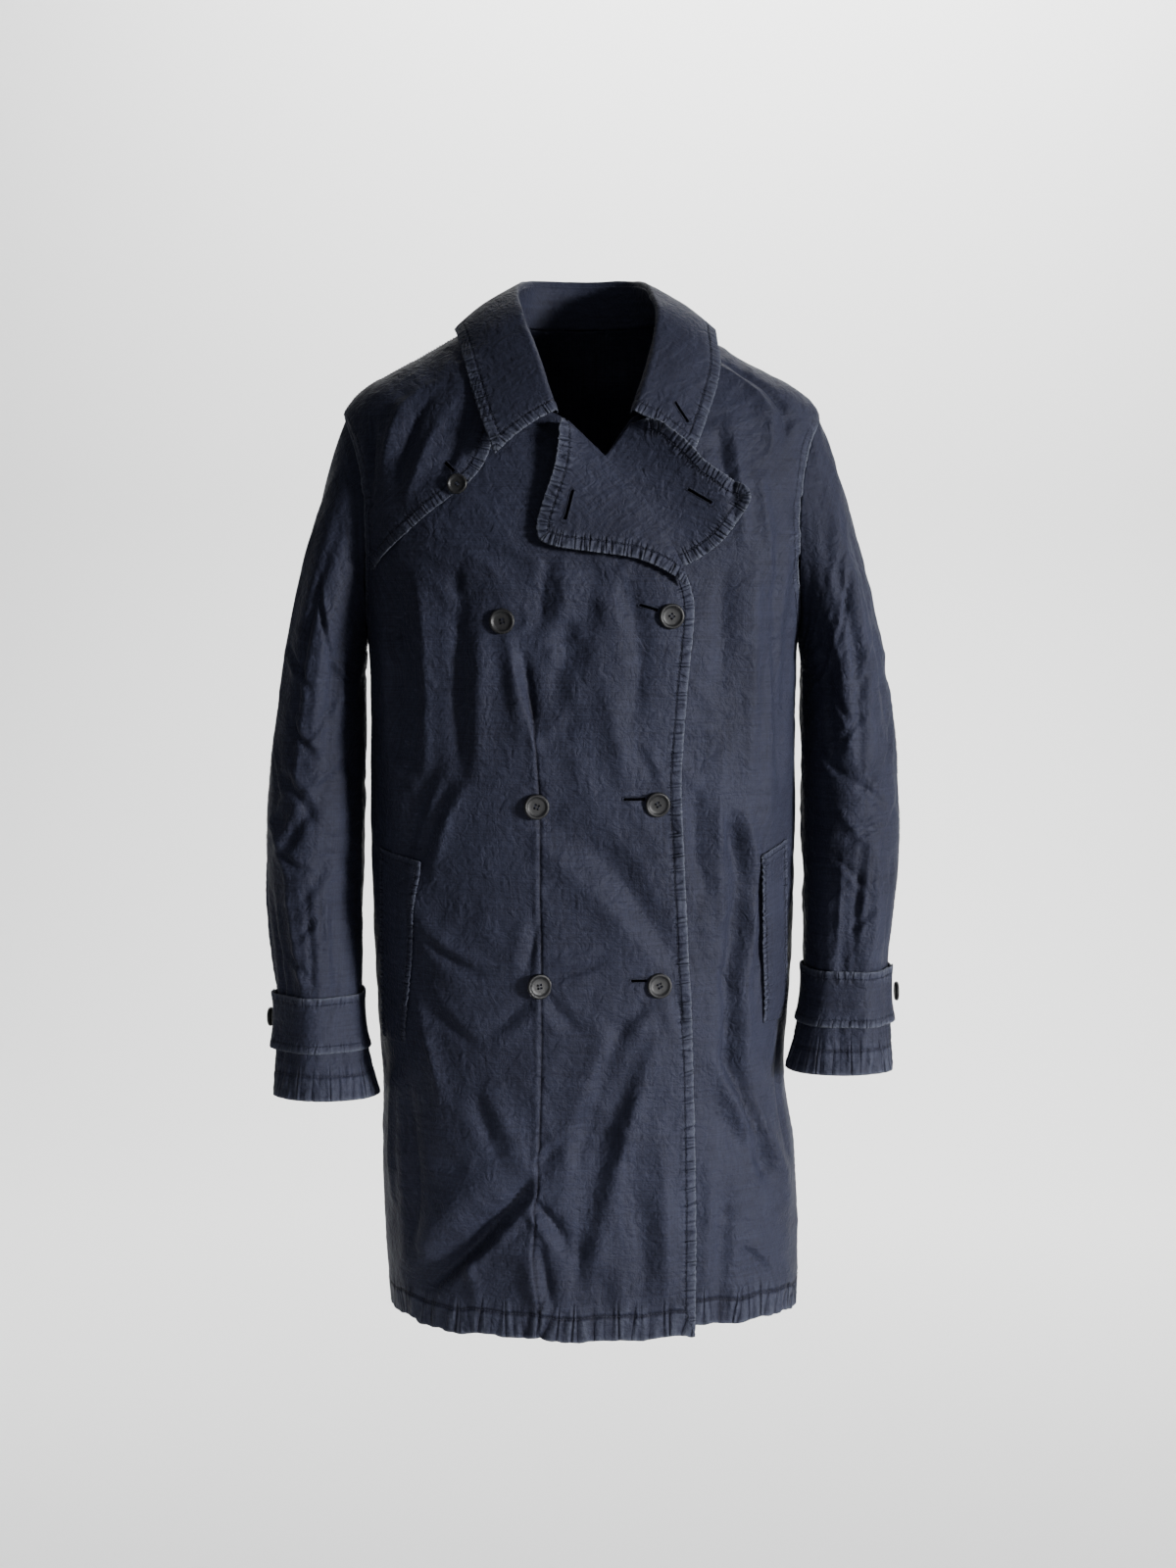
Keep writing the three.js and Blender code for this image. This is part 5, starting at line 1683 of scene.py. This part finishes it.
LEFT_SLEEVE_FOLDS = columns(
    "x z to_x to_z width depth bow crisp beside",
    (58, 50, 66, 300, 10, 3.0, 2, 0.2, 0),
    (80, 80, 84, 330, 9, -3.4, -3, 0.4, 1),
    (104, 110, 100, 300, 11, 2.8, 0, 0.1, 0),
    (126, 120, 116, 330, 9, -2.8, 3, 0.2, 0),
    (36, 100, 34, 320, 11, -2.6, 0, 0.2, 1),
    (12, 120, 10, 330, 12, 2.4, 0, 0.1, 0),
    (40, 320, 88, 352, 8, -3.2, 4, 0.5, 1),
    (98, 340, 50, 376, 9, -3.2, -4, 0.6, -1),
    (110, 372, 70, 412, 8, 2.8, 3, 0.3, 0),
    (28, 366, 60, 420, 8, -2.8, 4, 0.5, 1),
    (66, 410, 62, 510, 8, 3.0, 0, 0.2, 0),
    (84, 400, 90, 512, 7, -3.2, 2, 0.4, -1),
    (108, 420, 110, 512, 7, 2.6, 0, 0.2, 0),
    (40, 424, 34, 512, 7, -2.8, 0, 0.4, 1),
    (206, 130, 216, 350, 12, -3.0, 3, 0.2, 1),
    (262, 100, 270, 340, 13, 2.8, 0, 0.1, 0),
    (306, 150, 300, 370, 11, -2.8, 0, 0.2, -1),
    (236, 340, 290, 384, 9, -3.0, 4, 0.4, 1),
    (300, 372, 246, 416, 9, 2.8, -4, 0.3, 0),
    (272, 420, 278, 520, 8, -2.6, 0, 0.3, 1),
    (60, 110, 100, 168, 6, -3.2, -3, 0.6, 1),
    (112, 160, 140, 230, 6, -3.2, 3, 0.6, -1),
    (46, 200, 78, 256, 6, -3.0, 3, 0.5, 1),
    (132, 240, 96, 280, 5, -3.4, -3, 0.6, 1),
    (70, 268, 108, 302, 5, -3.0, 2, 0.6, -1),
    (138, 306, 104, 334, 5, -3.0, 2, 0.6, 1),
    (52, 384, 100, 404, 5, -3.2, 3, 0.6, 1),
    (118, 420, 80, 452, 5, -3.0, -2, 0.6, 1),
    (60, 466, 92, 492, 5, -2.6, 0, 0.6, -1),
    (20, 280, 42, 330, 6, -3.0, 2, 0.5, 1),
)
CAP_LENGTH, TUBE_LENGTH = 244, 380
SLEEVE_CALM = 34             # folds die out over this length at the armhole
SLEEVE_FULLNESS = 1.2        # the sleeves' folds are this much deeper than their tables say


def sleeve_folds(sign):
    table = fuller(RIGHT_SLEEVE_FOLDS if sign < 0 else LEFT_SLEEVE_FOLDS, SLEEVE_FULLNESS)
    for key in ("x", "to_x"):
        table[key] = np.radians(table[key]) * SLEEVE_GIRTH
    return table


def down_the_sleeve(along):
    """How far below the shoulder tip a place lies, measured on the outside."""
    return np.clip(along / CAP_SHARE, 0, 1) * CAP_LENGTH + past_cap(along) * TUBE_LENGTH


def sleeve_drape(sign, angle, along):
    """How far the cloth stands off the smooth sleeve."""
    table, down = sleeve_folds(sign), down_the_sleeve(along)
    turn = np.mod(angle, 2 * math.pi) * SLEEVE_GIRTH
    strap_down = down_the_sleeve(along_at(STRAP_MIDDLE))
    held = 1 - 0.85 * np.exp(-((down - strap_down) / 30) ** 4)
    return folded(table, turn, down) * smooth(down, 0, SLEEVE_CALM) * held


def sleeve_point(sign, angle, along, lift=0.0):
    """A point of the sleeve's cloth, moved out by a lift."""
    angle, along = np.broadcast_arrays(angle, along)
    step = 0.01
    round_way = sleeve_form(sign, angle + step, along) - sleeve_form(sign, angle - step, along)
    up = (sleeve_form(sign, angle, np.maximum(along - step, 0))
          - sleeve_form(sign, angle, np.minimum(along + step, 1)))
    out = unit(np.cross(up, round_way)) * sign
    return sleeve_form(sign, angle, along) + out * (sleeve_drape(sign, angle, along) + lift)[..., None]


def along_at(z):
    """How far along the sleeve a level of its table is."""
    return CAP_SHARE + (1 - CAP_SHARE) * (CAP_Z - z) / (CAP_Z - CUFF_Z)


# %% One sleeve of two pieces
SIDE_NAMES = {-1: "right", 1: "left"}
SLEEVE_ROWS = spacing(625, 3.4, 1.9, (0,), reach=26)
STRAP_TUCKS = {"count": 17, "depth": 1.1, "reach": 26}
HIND_INSET = 3               # the top sleeve is stitched along its rear seam
SLEEVE_CRUMPLE = 1.5


def strap_tucks(angle, along, random):
    """Small tight tucks on both sides of the strap."""
    turn = np.broadcast_to(angle, along.shape) * SLEEVE_GIRTH
    middle = along_at(STRAP_MIDDLE)
    away = np.abs(down_the_sleeve(along) - down_the_sleeve(middle)) - STRAP_WIDTH / 2
    wobble = 1.1 * along_noise(turn, 24, random)
    wave = np.sin(turn / SLEEVE_GIRTH * STRAP_TUCKS["count"] + wobble * 2)
    height = mix(0.3, 1, smooth(along_noise(turn, 18, random), -0.6, 0.7))
    return STRAP_TUCKS["depth"] * height * wave * np.exp(-np.abs(away) / STRAP_TUCKS["reach"])


def sleeve_piece(sign, top, random):
    along = (1 - SLEEVE_ROWS)[:, None]
    hind = np.radians(at(HIND_SEAM, along)["x"])
    fore = math.radians(FORE_SEAM_ANGLE)
    start, stop = (hind, fore) if top else (fore, hind + 2 * math.pi)
    shares = spacing(185, 3.8, 1.8, (0, 185), reach=9)
    angle = mix(start, stop, shares)
    angle = angle if sign > 0 else angle[:, ::-1]
    along = np.broadcast_to(along, angle.shape)
    sheet = Sheet(sleeve_point(sign, angle, along))
    sheet.relief += strap_tucks(angle, along, random)
    crumple(sheet, SLEEVE_CRUMPLE, random)
    stitched_edge(sheet, "bottom", HEM_INSET, 0.9, 11, random, reach=10)
    for side in ("left", "right"):
        plain_seam(sheet, side, 0.5, 9, random)
    sheet.apply_relief()
    side, part = SIDE_NAMES[sign], "top" if top else "under"
    stitch(f"sleeve_{side}_stitching", sheet, "bottom", HEM_INSET)
    if top:
        hind_side = "left" if sign > 0 else "right"
        stitch(f"sleeve_{side}_stitching", sheet, hind_side, HIND_INSET)
    sew_in(f"coat_sleeve_{side}_{part}", sheet, [f"sleeve_{side}_{part}"])


for sign in SIDE_NAMES:
    for top in (True, False):
        sleeve_piece(sign, top, np.random.default_rng(20 + sign + 3 * top))

# %% [markdown]
# ## Cuff straps
# A strap of doubled cloth goes round each cuff. It is sewn in at the hind seam, passes behind,
# inside and in front, and its pointed end buttons onto its own start. It follows the sleeve's form
# a little way out, and near its end it climbs over itself.

# %% The strap round a cuff
STRAP_START, STRAP_LIFT, STRAP_OVER = math.radians(12), 2.6, 2.6
STRAP_INSET = 6.5


def cuff_strap(sign, random):
    sweep = math.radians(360 + STRAP["overlap"])
    shares = spacing(390, 2.3, 1.4, (0, 390), reach=9)
    heights = spacing(50, 2.2, 1.3, (0, 50), reach=7)[:, None]
    point = np.clip((shares - 0.965) / 0.035, 0, 1)
    height = mix(heights, 0.5, point * 0.62)
    over = smooth(shares, 0.87, 0.925) * STRAP_OVER
    along = along_at(mix(STRAP["bottom"], STRAP["top"], height))
    angle = np.broadcast_to(STRAP_START - sweep * shares, along.shape)
    angle, along, over = (a if sign < 0 else a[..., ::-1] for a in (angle, along, over))
    sheet = Sheet(sleeve_point(sign, angle, along, STRAP_LIFT + over))
    crumple(sheet, 0.45, random)
    for side in ("bottom", "top"):
        stitched_edge(sheet, side, STRAP_INSET, 0.6, 8, random, reach=5)
    sheet.apply_relief()
    side = SIDE_NAMES[sign]
    for edge in ("bottom", "top"):
        stitch(f"sleeve_{side}_stitching", sheet, edge, STRAP_INSET)
    stitch(f"sleeve_{side}_stitching", sheet, "right" if sign < 0 else "left", 5.0, 6, 44)
    sew_in(f"coat_cuff_strap_{side}", sheet, [f"cuff_strap_{side}"])


for sign in SIDE_NAMES:
    cuff_strap(sign, np.random.default_rng(30 + sign))

# %% [markdown]
# ## Pocket welts
# The pockets are slanted slits, each with a long welt sewn over it. A welt is a narrow doubled strip
# on the front, stitched down on all sides, and washing has puckered its stitching more than any
# other on the coat.

# %% Both welts
POCKETS = {
    "right": {"top_x": (-186, -146), "bottom_x": (-186, -163), "top": (-482, -490), "bottom": -658},
    "left": {"top_x": (186, 160), "bottom_x": (188, 166), "top": (-474, -486), "bottom": -640},
}
WELT_LIFT = 1.5
WELT_INSET, WELT_MOUTH_INSET = 5.0, 11.0         # round the welt, and once more below its mouth


def pocket_welt(side, pocket, random):
    across = spacing(32, 1.7, 1.3, (0, 32), reach=8)
    rise = spacing(170, 1.5, 1.3, (170,), reach=14)[:, None]
    across = across if side == "left" else 1 - across
    top_x, bottom_x = mix(*pocket["top_x"], across), mix(*pocket["bottom_x"], across)
    z = mix(pocket["bottom"], mix(*pocket["top"], across), rise)
    x = mix(bottom_x, top_x, rise)
    lift = WELT_LIFT * smooth(np.broadcast_to(rise, x.shape), -0.02, 0.12)
    sheet = Sheet(on_front(x, z, lift))
    crumple(sheet, 0.65, random)
    for edge in ("left", "right"):
        stitched_edge(sheet, edge, WELT_INSET, 1.1, 7.0, random, reach=6)
    stitched_edge(sheet, "top", WELT_INSET, 0.5, 7, random, reach=4)
    sheet.wear *= 0.4
    sheet.apply_relief()
    for edge in ("left", "right", "top"):
        stitch("front_stitching", sheet, edge, WELT_INSET)
    stitch("front_stitching", sheet, "top", WELT_MOUTH_INSET)
    sew_in(f"coat_pocket_{side}", sheet, [f"pocket_{side}"])


for side, pocket in POCKETS.items():
    pocket_welt(side, pocket, np.random.default_rng(40 + len(side)))

# %% [markdown]
# ## Buttonholes
# A buttonhole is a slit whose edges are bound with close thread, with a round eye at the end where
# the button's shank sits. Its wraps are short tubes of thread set square to the slit, all round it,
# and the slit between them is a thread-lined sheet of near-black painted shade.

# %% A spot on a finished sheet
def spot(sheet, x, z, count=6):
    """The place and direction of the cloth's front where it has this x and z."""
    points, normals = sheet.points.reshape(-1, 3), sheet.normals().reshape(-1, 3)
    away = (points[:, 0] - x) ** 2 + (points[:, 2] - z) ** 2 + 1e6 * (normals[:, 1] > -0.05)
    near = np.argsort(away)[:count]
    weight = 1 / (away[near] + 0.5)
    place = (points[near] * weight[:, None]).sum(0) / weight.sum()
    return place, unit((normals[near] * weight[:, None]).sum(0))


BUTTONHOLES = [
    # sheet, the slit's plain end and its eye as x and z
    (FRONT_RIGHT, (50.5, -259), (66, -263)),
    (FRONT_RIGHT, (36.5, -430), (55, -430)),
    (FRONT_RIGHT, (43.5, -592), (57, -592)),
    (STORM_FLAP, (-122, -133), (-114, -141)),
    (LAPEL_RIGHT, (-8.6, -158), (-15.5, -184)),
    (LAPEL_LEFT, (93, -157), (114, -169)),
    (COLLAR_FALL, (82, -80), (93, -98)),
]
WRAP = {"pitch": 0.62, "inner": 1.15, "outer": 2.4, "radius": 0.31, "rise": 0.45, "eye": 1.7}
SLIT = {"half": 1.1, "lift": 0.45}
SLIT_STEPS = 13


def buttonhole(sheet, plain_end, eye_end):
    """The thread wraps round one slit, and the gap between them as a sheet of painted shade."""
    shares = np.linspace(0, 1, SLIT_STEPS)
    plain, eye = np.array(plain_end), np.array(eye_end)
    line = np.array([spot(sheet, *mix(plain, eye, s))[0] for s in shares])
    up = unit(spot(sheet, *plain_end)[1] + spot(sheet, *eye_end)[1])
    a, b = line[0], line[-1]
    run = unit(b - a)
    side = np.cross(up, run)
    length = np.linalg.norm(b - a)
    bulge = ((line - a) - (b - a) * shares[:, None]) @ up
    straight = np.arange(0, length - WRAP["eye"], WRAP["pitch"])
    starts, ways = [], []
    for hand in (-1, 1):
        starts += [a + run * s for s in straight]
        ways += [side * hand] * len(straight)
    for centre, first, last, radius in ((a, 90, 270, 0), (b, -150, 150, WRAP["eye"])):
        turns = np.radians(np.arange(first, last + 1, 20))
        around = [run * math.cos(t) + side * math.sin(t) for t in turns]
        starts += [centre + way * radius for way in around]
        ways += around
    starts, ways = np.array(starts), np.array(ways)
    starts = starts + up * np.interp((starts - a) @ run / length, shares, bulge)[:, None]
    out = np.array([WRAP["inner"], 1.6, WRAP["outer"]])
    high = np.array([-0.1, WRAP["rise"], -0.2])
    centres = starts[:, None] + ways[:, None] * out[:, None] + up * high[:, None]
    thickness = np.array([0.9, 1, 0.7]) * WRAP["radius"]
    wraps = tubes(centres, thickness, np.tile(up, (len(starts), 1)))
    gap_line = a + (b - a) * shares[:, None] + up * (bulge + SLIT["lift"])[:, None]
    at_eye = smooth(shares, 0.84, 0.97) * (1 - smooth(shares, 0.99, 1.0))
    width = mix(SLIT["half"], WRAP["eye"], at_eye)
    gap, faces = tubes(gap_line[None], np.ones(SLIT_STEPS), up[None], sides=8)
    line_points = np.repeat(gap_line, 8, 0)
    flat = gap - line_points
    squash = flat - up * (flat @ up)[:, None] * 0.8
    return wraps, (line_points + squash * np.repeat(width, 8)[:, None], faces)


holes = [buttonhole(*row) for row in BUTTONHOLES]
bound_holes = add_piece("buttonhole_thread", *joined([hole[0] for hole in holes]), THREAD, "cloth")
print("buttonhole wraps:", len(bound_holes.data.polygons), "faces")


# %% The slits' near-black painted shade
# Near-black colours that paint the shade inside a slit.
SLIT_SHADE, SLIT_SHADE_PALER = (0.0004, 0.0004, 0.0006, 1), (0.0008, 0.0008, 0.0012, 1)


def shadow_finish():
    """The unlit cloth inside a slit."""
    material, tree, shader = new_material("painted shade of a slit")
    spot_on = add(tree, "ShaderNodeTexCoord").outputs["Object"]
    weave = place(tree, WEAVE, Vector=spot_on, Threads=1500.0)
    colour = place(tree, WASHED, Vector=spot_on, Rub=0.0, Slub=weave["Slub"],
                   Dye=SLIT_SHADE, Washed=SLIT_SHADE_PALER, Bare=BARE)
    tree.links.new(colour["Colour"], shader.inputs["Base Color"])
    shader.inputs["Roughness"].default_value = 0.9
    shader.inputs["Specular IOR Level"].default_value = 0.0
    return material


slits = add_piece("buttonhole_slits", *joined([hole[1] for hole in holes]), shadow_finish(), "cloth")
print("slits:", len(holes), "with", len(slits.data.polygons), "faces")

# %% [markdown]
# ## Buttons
# The buttons are turned from horn: a disc with a raised round rim, a dished middle and four drilled
# holes, sewn on with a few turns of thread. Turning is a profile spun round an axis, and the holes
# are real ones, cut with a boolean, since a painted dot looks flat as soon as the light moves.

# %% Turning and drilling a button
FRONT_RADIUS, FLAP_RADIUS = 11.35, 9.2
BUTTONS = [
    # node, sheet, x, z, radius, turn of its holes in degrees
    ("button_front_1", FRONT_RIGHT, -71, -273, FRONT_RADIUS, 12),
    ("button_front_2", FRONT_RIGHT, 78, -269, FRONT_RADIUS, 40),
    ("button_front_3", FRONT_RIGHT, -41, -437, FRONT_RADIUS, 70),
    ("button_front_4", FRONT_RIGHT, 66, -435, FRONT_RADIUS, 33),
    ("button_front_5", FRONT_RIGHT, -39, -597, FRONT_RADIUS, 8),
    ("button_front_6", FRONT_RIGHT, 68, -597, FRONT_RADIUS, 24),
    ("button_flap", STORM_FLAP, -111, -152, FLAP_RADIUS, 52),
]
BUTTON_HEIGHT = 3.6
CUFF_BUTTON = {"radius": 9, "angle": math.radians(-4), "turn": 30}
BUTTON_PROFILE = [
    # share of the radius, share of the height
    (0.0, 0.0), (0.7, 0.0), (0.86, 0.06), (0.96, 0.24), (1.0, 0.46), (0.995, 0.66), (0.965, 0.86),
    (0.915, 0.97), (0.86, 1.0), (0.80, 0.95), (0.75, 0.82), (0.69, 0.64), (0.60, 0.56), (0.42, 0.53),
]
BUTTON_SIDES = 56
HOLE = {"radius": 0.098, "away": 0.185}
SHANK = 0.3                  # the gap of thread between the cloth and the button


def turned_disc(radius):
    """The button before it is drilled, as a closed mesh on its own axis."""
    disc = bmesh.new()
    rings = []
    for share, rise in BUTTON_PROFILE[1:]:
        turn = np.arange(BUTTON_SIDES) / BUTTON_SIDES * 2 * math.pi
        rings.append([disc.verts.new((share * radius * math.cos(t), share * radius * math.sin(t),
                                      rise * BUTTON_HEIGHT)) for t in turn])
    for low, high in zip(rings, rings[1:]):
        for k in range(BUTTON_SIDES):
            after = (k + 1) % BUTTON_SIDES
            disc.faces.new((low[k], low[after], high[after], high[k]))
    disc.faces.new(rings[0][::-1])
    disc.faces.new(rings[-1])
    mesh = bpy.data.meshes.new("turned disc")
    disc.to_mesh(mesh)
    disc.free()
    return mesh


def drills(radius):
    """Four pins through the button, to be cut away."""
    pins = bmesh.new()
    away, pin = radius * HOLE["away"], radius * HOLE["radius"]
    for turn in (45, 135, 225, 315):
        centre = Matrix.Translation((away * math.cos(math.radians(turn)),
                                     away * math.sin(math.radians(turn)), BUTTON_HEIGHT / 2))
        bmesh.ops.create_cone(pins, cap_ends=True, segments=14, radius1=pin, radius2=pin,
                              depth=BUTTON_HEIGHT * 2, matrix=centre)
    mesh = bpy.data.meshes.new("pins")
    pins.to_mesh(mesh)
    pins.free()
    return mesh


def drilled_disc(radius):
    """The turned disc with its four holes cut through."""
    disc = bpy.data.objects.new("disc", turned_disc(radius))
    pins = bpy.data.objects.new("pins", drills(radius))
    for part in (disc, pins):
        bpy.context.collection.objects.link(part)
    cut = disc.modifiers.new("holes", "BOOLEAN")
    cut.object, cut.operation, cut.solver = pins, "DIFFERENCE", "EXACT"
    graph = bpy.context.evaluated_depsgraph_get()
    mesh = bpy.data.meshes.new_from_object(disc.evaluated_get(graph))
    for part in (disc, pins):
        bpy.data.objects.remove(part)
    return mesh


DISCS = {radius: drilled_disc(radius)
         for radius in (FRONT_RADIUS, FLAP_RADIUS, CUFF_BUTTON["radius"])}
print("a drilled button has", len(DISCS[FRONT_RADIUS].polygons), "faces")


# %% Setting a button and its thread on the cloth
def facing(up, turn):
    """A turn that points +Z along up, after a twist in degrees."""
    aim = Vector(up).to_track_quat("Z", "Y").to_matrix()
    return np.array(aim @ Matrix.Rotation(math.radians(turn), 3, "Z"))


def set_button(name, centre, up, radius, turn):
    mesh = DISCS[radius]
    local = np.empty(len(mesh.vertices) * 3)
    mesh.vertices.foreach_get("co", local)
    aim = facing(up, turn)
    points = local.reshape(-1, 3) @ aim.T + centre + up * SHANK
    faces = [list(face.vertices) for face in mesh.polygons]
    piece = add_piece(f"coat_{name}", points, faces, HORN, "button", [name])
    piece.data.set_sharp_from_angle(angle=math.radians(50))


def button_thread(centre, up, radius, turn):
    """Two pairs of threads across the middle, down into the holes."""
    aim = facing(up, turn)
    away = HOLE["away"] * radius / math.sqrt(2)
    floor = BUTTON_PROFILE[-1][1] * BUTTON_HEIGHT
    heights = np.array([floor - 1.6, floor, floor + 0.25, floor, floor - 1.6])
    runs = np.array([-1.0, -0.82, 0, 0.82, 1.0]) * away
    rows = []
    for side in (-1, 1):
        for twin in (-0.22, 0.22):
            across = np.full(5, side * away + twin * HOLE["radius"] * radius * 2)
            rows.append(np.stack([runs, across, heights], -1))
    centres = np.array(rows) @ aim.T + centre + up * SHANK
    return tubes(centres, np.full(5, 0.22), np.tile(up, (len(rows), 1)), sides=5)


button_threads = []
for node, sheet, x, z, radius, turn in BUTTONS:
    centre, up = spot(sheet, x, z)
    set_button(node, centre, up, radius, turn)
    button_threads.append(button_thread(centre, up, radius, turn))
for sign, side in SIDE_NAMES.items():
    along = np.array(along_at(STRAP_MIDDLE))
    angle = np.array(CUFF_BUTTON["angle"])
    centre = sleeve_point(sign, angle, along, STRAP_LIFT + STRAP_OVER + 1.4)
    up = unit(centre - sleeve_point(sign, angle, along, 0.0))
    set_button(f"button_cuff_{side}", centre, up, CUFF_BUTTON["radius"], CUFF_BUTTON["turn"])
    button_threads.append(button_thread(centre, up, CUFF_BUTTON["radius"], CUFF_BUTTON["turn"]))
add_piece("button_threads", *joined(button_threads), THREAD, "cloth")
print("buttons set:", len(button_threads))

# %% All stitches, one mesh for each area
for area, rows in SEWING.items():
    piece = add_piece(area, *joined(rows), THREAD, "cloth")
    print(area, len(piece.data.polygons), "faces")

# %% Measure and finish
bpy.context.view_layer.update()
meshes = [piece.data for piece in bpy.data.objects if piece.type == "MESH"]
total = sum(len(face.vertices) - 2 for mesh in meshes for face in mesh.polygons)
print("triangles in all, the hidden frame and floor too:", total)
print("cuts in millimetres and square centimetres:", CUTS)
